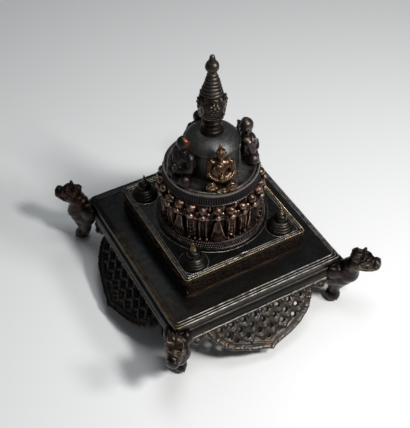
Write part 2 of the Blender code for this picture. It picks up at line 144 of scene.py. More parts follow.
def bronze(name, body, patch, hollow, ridge, rough=0.38, bright=1.0, patch_size=70.0):
    """Mix an old bronze: dark body, warm patches, reddish hollows and rubbed ridges."""
    body, patch, hollow = [tuple(PATINA_DEPTH * part for part in tone) for tone in (body, patch, hollow)]
    finish = bpy.data.materials.new(name)
    finish.use_nodes = True
    tree = finish.node_tree
    place = tree.nodes.new("ShaderNodeTexCoord")
    wear = tree.nodes.new("ShaderNodeAttribute")
    wear.attribute_name = "wear"

    def feed(node, inputs):
        """Set a node's inputs to numbers or colours, or join them to other nodes' outputs."""
        for key, value in inputs.items():
            if isinstance(value, bpy.types.NodeSocket):
                tree.links.new(value, node.inputs[key])
            else:
                node.inputs[key].default_value = (*value, 1.0) if isinstance(value, tuple) else value
        return node

    def cloud(scale, low, high, detail=4.0):
        """Add a noise that rises from 0 at low to 1 at high."""
        pattern = feed(tree.nodes.new("ShaderNodeTexNoise"),
                       {"Scale": scale, "Detail": detail, "Vector": place.outputs["Object"]})
        return span(pattern.outputs[0], low, high)

    def span(value, low, high, start=0.0, end=1.0):
        """Map a value from low..high to start..end."""
        rise = {"From Min": low, "From Max": high, "To Min": start, "To Max": end, "Value": value}
        return feed(tree.nodes.new("ShaderNodeMapRange"), rise).outputs["Result"]

    def times(first, second):
        """Multiply two values."""
        product = tree.nodes.new("ShaderNodeMath")
        product.operation = "MULTIPLY"
        return feed(product, {0: first, 1: second}).outputs[0]

    def blend(share, first, second):
        """Mix a second colour over the first by a share."""
        mix = tree.nodes.new("ShaderNodeMix")
        mix.data_type = "RGBA"
        return feed(mix, {0: share, 6: first, 7: second}).outputs[2]

    level = wear.outputs["Fac"]
    colour = blend(cloud(patch_size, 0.42, 0.62), body, patch)
    colour = blend(cloud(900.0, 0.35, 0.75, 6.0), colour, tuple(0.55 * part for part in body))
    colour = blend(times(span(level, 0.46, 0.15), cloud(260.0, 0.25, 0.6)), colour, hollow)
    rubbed = times(span(level, 0.74, 1.0, 0.0, bright), cloud(330.0, 0.25, 0.55))
    skin = feed(tree.nodes.new("ShaderNodeBump"), {
        "Strength": 0.35, "Distance": 0.00012, "Height": cloud(1300.0, 0.2, 0.8, 5.0)})
    swell = feed(tree.nodes.new("ShaderNodeBump"), {
        "Strength": 0.30, "Distance": 0.0005, "Height": cloud(190.0, 0.2, 0.8, 2.0),
        "Normal": skin.outputs["Normal"]})
    feed(tree.nodes["Principled BSDF"], {
        "Base Color": blend(rubbed, colour, ridge), "Metallic": METAL, "Specular IOR Level": 0.35,
        "Coat Weight": 0.10, "Coat Roughness": 0.32, "Normal": swell.outputs["Normal"],
        "Roughness": span(cloud(420.0, 0.25, 0.75, 5.0), 0.0, 1.0, rough - 0.13, rough + 0.10)})
    return finish


def mark_wear(mesh, passes, reach, polish):
    """Store how proud each point stands of the skin round it, from 0 in a hollow to 1 on a ridge.

    reach is the height in metres that counts as a ridge. With one pass it is the bend's radius.
    polish lists (height in mm, share): how much of a ridge's rubbing reaches each height.
    """
    count = len(mesh.vertices)
    spots = np.empty(count * 3)
    mesh.vertices.foreach_get("co", spots)
    spots = spots.reshape(-1, 3)
    ends = np.empty(len(mesh.edges) * 2, int)
    mesh.edges.foreach_get("vertices", ends)
    near, far = ends.reshape(-1, 2).T
    length = np.maximum(np.linalg.norm(spots[near] - spots[far], axis=1), 1e-6)
    weight = 1.0 / length
    total = np.bincount(near, weight, count) + np.bincount(far, weight, count)
    eased = spots
    for _ in range(passes):
        pulled = [np.bincount(near, weight * eased[far, axis], count)
                  + np.bincount(far, weight * eased[near, axis], count) for axis in range(3)]
        eased = np.stack(pulled, axis=1) / np.maximum(total, 1e-9)[:, None]
    facing = np.empty(count * 3, np.float32)
    mesh.vertex_normals.foreach_get("vector", facing)
    proud = ((spots - eased) * facing.reshape(-1, 3)).sum(axis=1)
    if passes == 1:
        closest = np.full(count, 1.0)
        np.minimum.at(closest, near, length)
        np.minimum.at(closest, far, length)
        proud *= 2.0 * reach ** 2 / np.maximum(closest, 0.00005) ** 2
    level = np.clip(0.5 + 0.5 * proud / reach, 0.0, 1.0)
    heights, shares = np.array(polish).T
    share = np.interp(spots[:, 2] * 1000.0, heights, shares)
    level = np.where(level > 0.5, 0.5 + (level - 0.5) * share, level)
    mesh.attributes.new("wear", "FLOAT", "POINT").data.foreach_set("value", level.astype(np.float32))


def cast(name, bm, finish, nodes, passes=1, reach=0.0006, polish=((0.0, 1.0),), keep=1.0):
    """Bring a shape in millimetres to metres and make it a bronze piece that rides on the root.

    keep is the share of the faces that stays once the wear is marked, most of them where it bends.
    """
    bmesh.ops.scale(bm, vec=(0.001, 0.001, 0.001), verts=bm.verts)
    mesh = mesh_of(bm, name)
    bm.free()
    mesh.materials.append(finish)
    mark_wear(mesh, passes, reach, polish)
    piece = stand(name, mesh)
    if keep < 1.0:
        piece.modifiers.new("Thin", "DECIMATE").ratio = keep
        shape = piece.evaluated_get(bpy.context.evaluated_depsgraph_get())
        piece.data = bpy.data.meshes.new_from_object(shape)
        piece.modifiers.clear()
        bpy.data.meshes.remove(mesh)
        piece.data.name = name
    piece.data.shade_smooth()
    piece.data.set_sharp_from_angle(angle=radians(38.0))
    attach(piece, "root")
    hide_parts(*nodes)
    return piece


def hand_cast(bm, reach, size, verts=None):
    """Shift the points a little, as wax worked by hand is never true."""
    for vert in verts or bm.verts:
        vert.co += noise.noise_vector(vert.co / size) * reach


def dent(bm, spot, size, push):
    """Dent a shape round a spot. push gives the shift of a point in the middle of the dent."""
    for vert in bm.verts:
        near = (vert.co - Vector(spot)).length
        if near < size:
            vert.co += push(vert.co) * (1.0 - near / size)


def between(value, low, high):
    """Tell how far a value lies from low to high, as a share from 0 to 1."""
    return min(1.0, max(0.0, (value - low) / (high - low)))


def cut_across(bm, place, away):
    """Cut the faces of a shape where they cross a plane."""
    bmesh.ops.bisect_plane(bm, geom=bm.verts[:] + bm.edges[:] + bm.faces[:], dist=0.0001,
                           plane_co=place, plane_no=away)


def plate(bm, half_x, half_y, corner, low, high):
    """Add a plate with rounded upright corners and a narrow edge, and return its top face."""
    place = Matrix.Translation((0, 0, (low + high) / 2))
    place = place @ Matrix.Diagonal((2 * half_x, 2 * half_y, high - low, 1))
    verts = bmesh.ops.create_cube(bm, size=1.0, matrix=place)["verts"]
    upright = {edge: None for vert in verts for edge in vert.link_edges
               if abs(edge.verts[0].co.z - edge.verts[1].co.z) > 0.5 * (high - low)}
    rounded = bmesh.ops.bevel(bm, geom=list(upright), offset=corner, segments=5, profile=0.5,
                              affect="EDGES", material=-1)
    rim = [face for vert in rounded["verts"] for face in vert.link_faces]
    top = max(rim, key=lambda face: face.calc_center_median().z)
    bmesh.ops.inset_region(bm, faces=[top], thickness=EDGE, use_even_offset=True)
    for height in (low + EDGE, high - EDGE):
        cut_across(bm, (0, 0, height), (0, 0, 1))
    return top


def step(bm, face, inward, upward):
    """Inset a face and lift it, which leaves a ledge or a slope round it."""
    bmesh.ops.inset_region(bm, faces=[face], thickness=inward, use_even_offset=True)
    bmesh.ops.translate(bm, verts=face.verts, vec=(0, 0, upward))


def cross_cuts(bm, half_x, half_y, pitch):
    """Cut a plate crosswise into cells, so that its surface can waver."""
    for axis, half in ((0, half_x), (1, half_y)):
        count = int(2 * half / pitch)
        for cut in range(1, count):
            place = Vector((0, 0, 0))
            place[axis] = -half + 2 * half * cut / count
            away = Vector((0, 0, 0))
            away[axis] = 1.0
            cut_across(bm, place, away)


def rounded_path(half_x, half_y, corner, pitch, height):
    """List the points of a level rectangle with round corners, spaced about evenly."""
    points = []
    for quarter, (east, north) in enumerate(((1, 1), (-1, 1), (-1, -1), (1, -1))):
        for part in range(5):
            angle = radians(90 * quarter + 22.5 * part)
            points.append(Vector((east * (half_x - corner) + corner * cos(angle),
                                  north * (half_y - corner) + corner * sin(angle), 0)))
    spaced = []
    for start, end in zip(points, points[1:] + points[:1]):
        cells = max(1, round((end - start).length / pitch))
        spaced += [start.lerp(end, cell / cells) + Vector((0, 0, height)) for cell in range(cells)]
    return spaced


def wire(bm, points, radius, closed=False, thin_ends=1.0, sides=2):
    """Lay a round wax wire along points. thin_ends is its thickness at the ends as a share."""
    line = bpy.data.curves.new("wire", "CURVE")
    line.dimensions = "3D"
    line.bevel_depth = radius
    line.bevel_resolution = sides
    line.use_fill_caps = True
    run = line.splines.new("POLY")
    run.points.add(len(points) - 1)
    run.use_cyclic_u = closed
    for number, (spot, point) in enumerate(zip(run.points, points)):
        spot.co = (*point, 1.0)
        middle = 1.0 - abs(2.0 * number / max(1, len(points) - 1) - 1.0)
        spot.radius = thin_ends + (1.0 - thin_ends) * min(1.0, 1.6 * middle)
    holder = bpy.data.objects.new("wire", line)
    tube = bpy.data.meshes.new_from_object(holder)
    before = len(bm.verts)
    bm.from_mesh(tube)
    bm.verts.ensure_lookup_table()
    bmesh.ops.remove_doubles(bm, verts=bm.verts[before:], dist=0.0005)
    bpy.data.objects.remove(holder, do_unlink=True)
    bpy.data.curves.remove(line)
    bpy.data.meshes.remove(tube)


deck_patina = bronze("deck_patina", (0.064, 0.070, 0.074), (0.060, 0.050, 0.037),
                     (0.075, 0.034, 0.018), (0.38, 0.35, 0.31), rough=0.36, bright=0.9, patch_size=34.0)
# The left edge's finish: golden ridges on a darker body, the darker body painted shade.
deck_gold_and_shade = bronze("deck_gold_and_shade", (0.040, 0.043, 0.043), (0.040, 0.032, 0.023),
                   (0.075, 0.034, 0.018), (0.42, 0.30, 0.16), rough=0.36, bright=0.9, patch_size=34.0)
bm = bmesh.new()
plate(bm, DECK_X - 0.7, DECK_Y - 0.7, DECK_CORNER - 0.6, DECK_LOW, 40.3)
top = plate(bm, DECK_X, DECK_Y, DECK_CORNER, 39.9, 41.1)
step(bm, top, 3.6, -0.25)
cross_cuts(bm, DECK_X, DECK_Y, DECK_CELL)
for across, along, radius, rise in DECK_RIDGES:
    wire(bm, rounded_path(DECK_X - across, DECK_Y - along, 1.9, 2.0, DECK_TOP + rise), radius, closed=True)
dent(bm, (-14.6, -52.4, DECK_TOP), 2.4, lambda point: Vector((0.5, 0.35, -0.55)))
hand_cast(bm, 0.13, 9.0)
deck = cast("deck_plate", bm, deck_patina, ["plinth_deck"])
# Dim the rubbed ridges toward the back and the left: painted shade, as less light falls there.
for spot, level in zip(deck.data.vertices, deck.data.attributes["wear"].data):
    back = between(spot.co.y * 1000.0, 20.0, 45.0)
    left = between(-spot.co.x * 1000.0, 42.0, 50.0)
    level.value -= max(0.0, level.value - 0.5) * min(1.0, 0.9 * back + 0.3 * left)
# Faces past the left edge take the golden finish with its painted shade.
deck.data.materials.append(deck_gold_and_shade)
for face in deck.data.polygons:
    face.material_index = 1 if face.center.x * 1000.0 < GOLD_AND_SHADE_EDGE else 0

# The plinth's four sides: mitred strips, each cast with a plain sunk band over a swelling foot.
# The band is brown where polish never reached, and the foot has a thin bright lower edge.
SIDES = {"front": 0.0, "right": 90.0, "back": 180.0, "left": 270.0}
SIDE_SECTION = ((-3.6, 27.9), (0.3, 27.9), (0.75, 28.6), (0.95, 29.8), (1.0, 31.2), (0.85, 32.6),
                (0.4, 33.9), (-0.2, 34.7), (-0.8, 35.1), (-0.9, 35.7), (-0.9, 37.4), (-3.6, 37.4))


def strip(bm, section, half):
    """Run a section of (outward, height) along x with mitred ends, facing -y."""
    end = bm.faces.new([bm.verts.new((half + out, -out, height)) for out, height in section])
    for item in bmesh.ops.extrude_face_region(bm, geom=[end])["geom"]:
        if isinstance(item, bmesh.types.BMVert):
            item.co.x = -item.co.x
    bmesh.ops.recalc_face_normals(bm, faces=bm.faces)


def turn_out(bm, heading, reach):
    """Push a shape that faces -y out to its side and turn it about the upright axis."""
    place = Matrix.Rotation(radians(heading), 4, "Z") @ Matrix.Translation((0, -reach, 0))
    bmesh.ops.transform(bm, matrix=place, verts=bm.verts)


def side_sizes(side, half_x, half_y):
    """Tell how far a side runs from its middle, and how far out it stands."""
    return (half_x, half_y) if side in ("front", "back") else (half_y, half_x)


side_patina = bronze("side_patina", (0.036, 0.038, 0.034), (0.060, 0.044, 0.036),
                     (0.070, 0.036, 0.022), (0.32, 0.28, 0.24), rough=0.42)
for side, heading in SIDES.items():
    run, reach = side_sizes(side, DECK_X, DECK_Y)
    bm = bmesh.new()
    strip(bm, SIDE_SECTION, run)
    cross_cuts(bm, run, 1.0, 3.0)
    wire(bm, [(-run - 0.4 + (2 * run + 0.8) * cell / 40, -0.70, 28.25) for cell in range(41)], 0.34)
    turn_out(bm, heading, reach)
    hand_cast(bm, 0.16, 7.0)
    cast(f"plinth_strip_{side}", bm, side_patina, [f"plinth_side_{side}"])

# The four aprons: pierced sheets cast thick enough to see, that hang from the foot of the plinth
# and slope outward. Each has a roped border, two finer lines inside it, and a net of ridges round
# its holes. They are rubbed pale, apart from the left one, which is painted dark as shade on the
# side away from the lamps.
APRON_SLOPE = 47.3
APRON_HALF = 34.5
APRON_DEPTH = 23.5
APRON_CUSP = 3.3
CUSP_WIDTH = 5.0
APRON_THICK = 2.0
APRON_TOP = 27.6
STRIP_HALF = 45.0
STRIP_DEPTH = 2.4
BRACKET_AT = 40.6
HOLE = 1.68
HOLE_TAPER = 0.86
HOLE_PITCH = 7.5
ROW_PITCH = 4.75
FIRST_ROW = 3.5
NET_INSET = 4.0
SIDE_STRETCH = 1.09
WAX_GRAIN = 0.40


def lump(bm, centre, radii, tilt=(0, 0, 0), fine=2):
    """Add an ellipsoid of wax, turned by angles in degrees."""
    spin = Matrix.Rotation(radians(tilt[2]), 4, "Z") @ Matrix.Rotation(radians(tilt[1]), 4, "Y")
    place = Matrix.Translation(centre) @ spin @ Matrix.Rotation(radians(tilt[0]), 4, "X")
    place = place @ Matrix.Diagonal((*radii, 1.0))
    bmesh.ops.create_icosphere(bm, subdivisions=fine, radius=1.0, matrix=place)


def lumps(bm, *rows, fine=3):
    """Add ellipsoids of wax. A row holds the x, y and z of one's centre and of its radii."""
    for row in rows:
        lump(bm, row[:3], row[3:], fine=fine)


def rod(bm, start, end, thick_start, thick_end):
    """Add a tapered roll of wax with round ends."""
    start, end = Vector(start), Vector(end)
    along = end - start
    place = Matrix.Translation((start + end) / 2) @ along.to_track_quat("Z", "Y").to_matrix().to_4x4()
    bmesh.ops.create_cone(bm, cap_ends=True, segments=12, radius1=thick_start, radius2=thick_end,
                          depth=along.length, matrix=place)
    lump(bm, start, (thick_start,) * 3)
    lump(bm, end, (thick_end,) * 3)


def clear_away(body):
    """Take an object out of the scene, and its mesh with it."""
    mesh = body.data
    bpy.data.objects.remove(body, do_unlink=True)
    bpy.data.meshes.remove(mesh)


def take_back(bm, body):
    """Give a shape what the modifiers made of its body, and clear the body away."""
    made = bpy.data.meshes.new_from_object(body.evaluated_get(bpy.context.evaluated_depsgraph_get()))
    bm.clear()
    bm.from_mesh(made)
    bpy.data.meshes.remove(made)
    clear_away(body)


def join(bm, other):
    """Add another shape to this one, and let the other go."""
    mesh = mesh_of(other, "shape")
    other.free()
    bm.from_mesh(mesh)
    bpy.data.meshes.remove(mesh)


def close(bm):
    """Fill the openings of a shape."""
    bmesh.ops.holes_fill(bm, edges=[edge for edge in bm.edges if edge.is_boundary])


def melt(bm, grain=WAX_GRAIN, settle=2):
    """Melt overlapping lumps of wax into one closed skin, and let its surface settle."""
    wax = stand("wax", mesh_of(bm, "wax"))
    merge = wax.modifiers.new("Melt", "REMESH")
    merge.mode = "VOXEL"
    merge.voxel_size = grain
    ease = wax.modifiers.new("Settle", "SMOOTH")
    ease.factor = 0.5
    ease.iterations = settle
    take_back(bm, wax)


def drill(bm, spots, radius, depth):
    """Press tapered round holes down z through a closed shape. radius is the hole's at z = 0."""
    pins = bmesh.new()
    for x, y in spots:
        bmesh.ops.create_cone(pins, cap_ends=True, segments=14, radius1=(1.0 - HOLE_TAPER) * radius,
                              radius2=(1.0 + HOLE_TAPER) * radius, depth=depth,
                              matrix=Matrix.Translation((x, y, 0)))
    body = stand("body", mesh_of(bm, "body"))
    tool = stand("pins", mesh_of(pins, "pins"))
    pins.free()
    cut = body.modifiers.new("Drill", "BOOLEAN")
    cut.operation = "DIFFERENCE"
    cut.solver = "EXACT"
    cut.object = tool
    take_back(bm, body)
    clear_away(tool)


def border(inward, height, steps=64):
    """List the points of the apron's arched edge, moved in by a distance."""
    points = []
    for part in range(steps + 1):
        turn = radians(-90.0 + 180.0 * part / steps)
        across = (APRON_HALF - inward) * sin(turn)
        down = (APRON_DEPTH - inward) * cos(turn) + APRON_CUSP * exp(-abs(across) / CUSP_WIDTH)
        points.append(Vector((across, -max(down, 0.6), height)))
    return points


def net_depth(x):
    """Tell how far down the net of ridges reaches at x."""
    inside = max(0.0, 1.0 - (x / (APRON_HALF - NET_INSET)) ** 2)
    return (APRON_DEPTH - NET_INSET) * sqrt(inside) + 0.6 * APRON_CUSP * exp(-abs(x) / CUSP_WIDTH)


def apron_net(bm):
    """Add the ridges between the holes, with a small dot at each joint, and return the holes."""
    holes = []
    for row in range(4):
        down = FIRST_ROW + row * ROW_PITCH
        shift = -0.4 + (0.5 * HOLE_PITCH if row % 2 == 0 else 0.0)
        for column in range(-5, 6):
            x = column * HOLE_PITCH + shift
            joint = (x + 0.5 * HOLE_PITCH, down - 0.9)
            for start, end in ((joint, (x + 0.5 * HOLE_PITCH, down + 0.9)),
                               (joint, (x, down - 3.85)), (joint, (x + HOLE_PITCH, down - 3.85))):
                if max(start[1] - net_depth(start[0]), end[1] - net_depth(end[0])) < -0.2 and end[1] > -1.0:
                    wire(bm, [(start[0], -start[1], 0.15), (end[0], -end[1], 0.15)], 0.50)
            if joint[1] < net_depth(joint[0]) - 0.4:
                lump(bm, (joint[0], -joint[1], 0.35), (0.75, 0.75, 0.6))
            if down < net_depth(x) - 2.0:
                holes.append((x, -down))
    return holes


apron_patina = bronze("apron_patina", (0.190, 0.176, 0.160), (0.270, 0.190, 0.135),
                      (0.040, 0.019, 0.011), (0.76, 0.68, 0.56), patch_size=95.0)
# The left apron's finish: a dark copy of the apron's bronze, painted shade.
apron_painted_shade = bronze("apron_painted_shade", (0.024, 0.021, 0.018), (0.046, 0.031, 0.022),
                     (0.020, 0.009, 0.006), (0.08, 0.066, 0.05), rough=0.48, bright=0.4, patch_size=95.0)
panel = bmesh.new()
ends = [(-STRIP_HALF, 4.0), (-STRIP_HALF, -STRIP_DEPTH), (-34.6, -STRIP_DEPTH)]
outline = ends + [point.xy for point in border(0.0, 0.0)[2:-2]] + [(-x, y) for x, y in reversed(ends)]
sheet = panel.faces.new([panel.verts.new((x, y, -APRON_THICK)) for x, y in outline])
raised = bmesh.ops.extrude_face_region(panel, geom=[sheet])["geom"]
bmesh.ops.translate(panel, vec=(0, 0, APRON_THICK),
                    verts=[item for item in raised if isinstance(item, bmesh.types.BMVert)])
bmesh.ops.recalc_face_normals(panel, faces=panel.faces)
relief = bmesh.new()
drill(panel, apron_net(relief), HOLE, 4 * APRON_THICK)
wire(panel, border(1.15, -0.35), 1.15, sides=3)
wire(panel, border(2.9, -0.1), 0.62)
wire(panel, border(4.15, 0.1), 0.50)
for number, point in enumerate(border(1.1, 0.15, steps=44)[2:-2]):
    swell = 0.85 + 0.15 * (number * 7 % 5) / 2
    lump(panel, point, (1.25 * swell, 0.85 * swell, 0.85 * swell), tilt=(0, 0, 35.0 - 1.5 * number))
for edge in (-1, 1):
    lump(panel, (edge * BRACKET_AT, -1.6, -0.3), (5.6, 3.8, 1.2))
    for along, down, size in ((-3.4, -2.0, 2.1), (0.2, -4.0, 2.4), (3.6, -2.4, 2.1)):
        lump(panel, (edge * (BRACKET_AT + along), down, -0.2), (size, size, 1.2))
        wire(panel, [(edge * (BRACKET_AT + 0.4 * along), -0.4, 0.1),
                     (edge * (BRACKET_AT + along), down, 0.4)], 0.65)
wire(panel, [(-STRIP_HALF + 2.0 * part, -0.9, 0.2) for part in range(46)], 0.6)
join(panel, relief)
melt(panel)
bmesh.ops.rotate(panel, cent=(0, 0, 0), matrix=Matrix.Rotation(radians(APRON_SLOPE), 3, "X"),
                 verts=panel.verts)
bmesh.ops.translate(panel, vec=(0, 0, APRON_TOP), verts=panel.verts)
buried = [vert for vert in panel.verts if vert.co.z > APRON_TOP + 0.8]
bmesh.ops.delete(panel, geom=buried, context="VERTS")
close(panel)
for side, heading in SIDES.items():
    bm = panel.copy()
    stretch = 1.0 if side in ("front", "back") else SIDE_STRETCH
    bmesh.ops.scale(bm, vec=(stretch, 1.0, 1.0), verts=bm.verts)
    turn_out(bm, heading, side_sizes(side, DECK_X, DECK_Y)[1] - 1.2)
    hand_cast(bm, 0.50, 6.5)
    # The left apron takes the painted-shade finish.
    cast(f"pierced_apron_{side}", bm, apron_painted_shade if side == "left" else apron_patina,
         [f"apron_{side}"], passes=6, reach=0.00030,
         polish=((9.5, 1.0), (14.0, 0.9), (24.0, 0.8)))
panel.free()

# The four corner beasts: cast in one with the plinth's corners, each an eared head on a curly neck
# over a swelling chest and one thick leg. They carry the weight, and polish has worn the heads.
# The back-left one is painted darker as shade, and the front two's cheeks paler, partly as painted
# light. Each is shaped along +x from the plinth's corner, and is then turned to its diagonal.
CORNERS = {"front_right": (1, -1), "back_right": (1, 1), "back_left": (-1, 1), "front_left": (-1, -1)}
BEAST_GRAIN = 0.46
# How far each one's foot splays, its neck sways and twists, its head bows, its foot staggers
# to the side, and the share by which its head is drawn in.
STANCE = {"front_right": (0.0, 0.0, 0.0, 0.0, 2.8, 0.0), "back_right": (0.5, 0.5, 0.0, 0.0, -1.0, 0.0),
          "back_left": (12.0, -0.5, 0.0, 0.3, -3.6, 0.0), "front_left": (-3.0, 8.0, -3.8, 1.5, 0.0, 0.10)}
BEAST_RUB = {"front_right": 0.75, "back_right": 0.6, "back_left": 0.25, "front_left": 0.65}
# The pale part of the front two's heads, worn and partly painted light, from its back to the snout
# and from low to high.
CHEEKS = {"front_right": (6.4, 18.4, 34.4, 44.6), "front_left": (6.0, 17.0, 34.0, 50.0)}


def curl(bm, centre, radius, thick, turns=1.25, start=0.0, face=0.0, hand=1):
    """Lay a wire in a flat spiral, like a lock of mane. face turns its plane about z."""
    points = []
    steps = 16
    for part in range(steps + 1):
        share = part / steps
        angle = radians(start) + hand * 2.0 * pi * turns * share
        reach = radius * (1.0 - 0.8 * share)
        flat = Vector((reach * cos(angle), 0.0, reach * sin(angle)))
        points.append(Matrix.Rotation(radians(face), 3, "Z") @ flat + Vector(centre))
    wire(bm, points, thick, thin_ends=0.7)


def beast(bm):
    """Shape one beast, its right and left halves alike. The body melts first, and so stays soft."""
    lumps(bm, (0.6, 0, 30.4, 6.0, 6.4, 5.4), (5.6, 0, 28.3, 6.8, 6.7, 6.7), (2.6, 0, 23.4, 6.8, 6.4, 6.2),
          (6.2, 0, 32.8, 5.8, 5.8, 5.0), (5.6, 0, 36.1, 4.6, 4.8, 4.3))
    rod(bm, (1.8, 0, 19.0), (-0.8, 0, 9.6), 5.2, 2.9)
    lumps(bm, (-3.8, 3.4, 14.0, 3.6, 3.0, 7.0), (-1.0, 0, 4.2, 4.8, 4.9, 4.9))
    for side in (-1, 1):
        lumps(bm, (-3.6, side * 5.0, 31.4, 4.8, 3.4, 5.0), (-2.8, side * 4.0, 23.6, 5.4, 3.7, 5.8))
    melt(bm, 0.7, settle=8)
    lumps(bm, (9.0, 0, 38.2, 5.6, 5.2, 5.2), (12.4, 0, 41.2, 5.4, 5.4, 5.1), (16.2, 0, 41.2, 4.5, 4.5, 4.3),
          (20.2, 0, 41.2, 2.8, 3.9, 4.2))
    rod(bm, (12.0, 0, 37.8), (18.2, 0, 38.3), 4.0, 3.2)
    lumps(bm, (9.2, 0, 44.6, 4.2, 4.6, 3.9))
    for side in (-1, 1):
        curl(bm, (-2.6, side * 6.6, 27.4), 2.8, 0.36, turns=1.2, start=120.0, face=side * -40.0, hand=-side)
        lump(bm, (15.4, side * 3.9, 43.7), (1.5, 1.1, 1.2))
        wire(bm, [(12.4, side * 5.0, 44.0), (14.4, side * 4.7, 45.2), (16.4, side * 3.5, 45.2),
                  (18.0, side * 1.4, 44.6)], 0.42)
        rod(bm, (12.2, side * 1.7, 44.8), (13.0, side * 4.2, 47.4), 2.8, 1.0)
        lumps(bm, (21.6, side * 1.9, 43.4, 1.0, 0.9, 0.85), (21.4, side * 2.9, 40.4, 0.9, 0.8, 0.8), fine=2)
        wire(bm, [(18.6, side * 4.0, 40.2), (15.4, side * 4.8, 40.0), (12.8, side * 5.3, 41.0),
                  (11.2, side * 5.4, 42.6)], 0.50)
        wire(bm, [(18.0, side * 3.2, 38.2), (15.8, side * 4.0, 37.6), (12.4, side * 4.3, 37.4)], 0.40)
        for lock in range(3):
            curl(bm, (6.2 - 2.5 * lock, side * (4.5 + 0.3 * lock), 36.4 - 2.9 * lock), 1.7, 0.26,
                 start=40.0 * lock, face=side * 8.0, hand=side)
            wire(bm, [(11.4 - 0.3 * lock, side * (0.9 + 1.3 * lock), 48.4 - 0.8 * lock),
                      (8.0, side * (1.1 + 1.5 * lock), 49.2 - 1.0 * lock),
                      (4.4, side * (1.2 + 1.4 * lock), 46.6 - 0.8 * lock)], 0.28)
        for toe in range(2):
            wire(bm, [(0.8, side * (0.8 + 1.9 * toe), 8.2), (3.2 - 0.9 * toe, side * (1.0 + 2.1 * toe), 4.8),
                      (3.0 - 1.0 * toe, side * (1.0 + 2.1 * toe), 1.5)], 0.5)
    for scale in range(3):
        narrow = 0.3 * abs(scale - 1)
        wire(bm, [(5.4 + (6.5 - narrow) * cos(radians(turn)), (6.3 - narrow) * sin(radians(turn)),
                   32.2 - 2.4 * scale - 1.2 * cos(radians(turn))) for turn in range(-70, 71, 14)], 0.42)


beast_patina = bronze("beast_patina", (0.060, 0.047, 0.044), (0.110, 0.066, 0.056),
                      (0.026, 0.013, 0.009), (0.46, 0.37, 0.26), bright=0.8, patch_size=110.0)
# The back-left beast's finish: a darker, browner copy of the beast's bronze, painted shade.
beast_painted_shade = bronze("beast_painted_shade", (0.036, 0.026, 0.020), (0.110, 0.042, 0.020),
                     (0.030, 0.012, 0.007), (0.26, 0.20, 0.14), rough=0.44, bright=0.6, patch_size=60.0)
# Paler finish for the front beasts' cheeks: rubbed golden-brown, and partly painted light.
cheek_rub_and_light = bronze("cheek_rub_and_light", (0.240, 0.186, 0.130), (0.290, 0.190, 0.140),
                      (0.040, 0.020, 0.014), (0.62, 0.52, 0.38), rough=0.40, bright=0.8, patch_size=130.0)
wax_beast = bmesh.new()
beast(wax_beast)
melt(wax_beast, BEAST_GRAIN)
bmesh.ops.bisect_plane(wax_beast, geom=wax_beast.verts[:] + wax_beast.edges[:] + wax_beast.faces[:],
                       dist=0.001, plane_co=(0, 0, 0.02), plane_no=(0, 0, -1), clear_outer=True)
close(wax_beast)
for corner, (east, north) in CORNERS.items():
    bm = wax_beast.copy()
    splay, sway, twist, bow, stagger, draw = STANCE[corner]
    for vert in bm.verts:
        vert.co.x -= draw * max(0.0, vert.co.x) * between(vert.co.z, 32.0, 40.0)
        reach = max(0.0, vert.co.x) / 20.0
        vert.co.y += sway * reach + twist * reach ** 2
        foot = max(0.0, 1.0 - vert.co.z / 38.0) ** 0.8
        vert.co += Vector((splay * foot, stagger * foot, 0))
        vert.co.z -= bow * min(1.0, reach) if vert.co.z > 20.0 else 0.0
    turn = Matrix.Rotation(atan2(north, east), 4, "Z")
    seat = Vector((east * DECK_X, north * DECK_Y, 0))
    bmesh.ops.transform(bm, matrix=Matrix.Translation(seat) @ turn, verts=bm.verts)
    hand_cast(bm, 0.45, 8.0, [vert for vert in bm.verts if vert.co.z > 0.6])
    rub = BEAST_RUB[corner]
    # The back-left beast takes the painted-shade finish.
    piece = cast(f"corner_foot_beast_{corner}", bm, beast_painted_shade if corner == "back_left" else beast_patina,
                 [f"corner_beast_{corner}"], passes=8, reach=0.00022, keep=0.7,
                 polish=((20.0, 0.3 * rub), (36.0, 0.5 * rub), (39.0, rub), (43.5, rub), (46.0, 0.6 * rub)))
    # The front two's cheeks take the paler finish, partly painted light.
    if corner in CHEEKS:
        piece.data.materials.append(cheek_rub_and_light)
        back, snout, low, high = CHEEKS[corner]
        for face in piece.data.polygons:
            spot = turn.inverted() @ (face.center - seat * 0.001)
            if back < spot.x * 1000.0 < snout and low < spot.z * 1000.0 < high:
                face.material_index = 1
wax_beast.free()

# The upper platform: a block whose four sides carry a vine scroll under a cornice. The scroll is
# left red-brown, with a plain fillet at its foot that polish has reached.
PLATFORM_X = 38.2
PLATFORM_Y = 40.5
PLATFORM_TOP = 55.7
PLATFORM_CORNER = 1.8
FRIEZE_LOW = 42.6
FRIEZE_HIGH = 52.5
VINE_PITCH = 7.6
VINE_GRAIN = 0.38
frieze_patina = bronze("frieze_patina", (0.070, 0.038, 0.026), (0.110, 0.052, 0.034),
                       (0.022, 0.010, 0.007), (0.22, 0.15, 0.11), rough=0.42, patch_size=120.0)


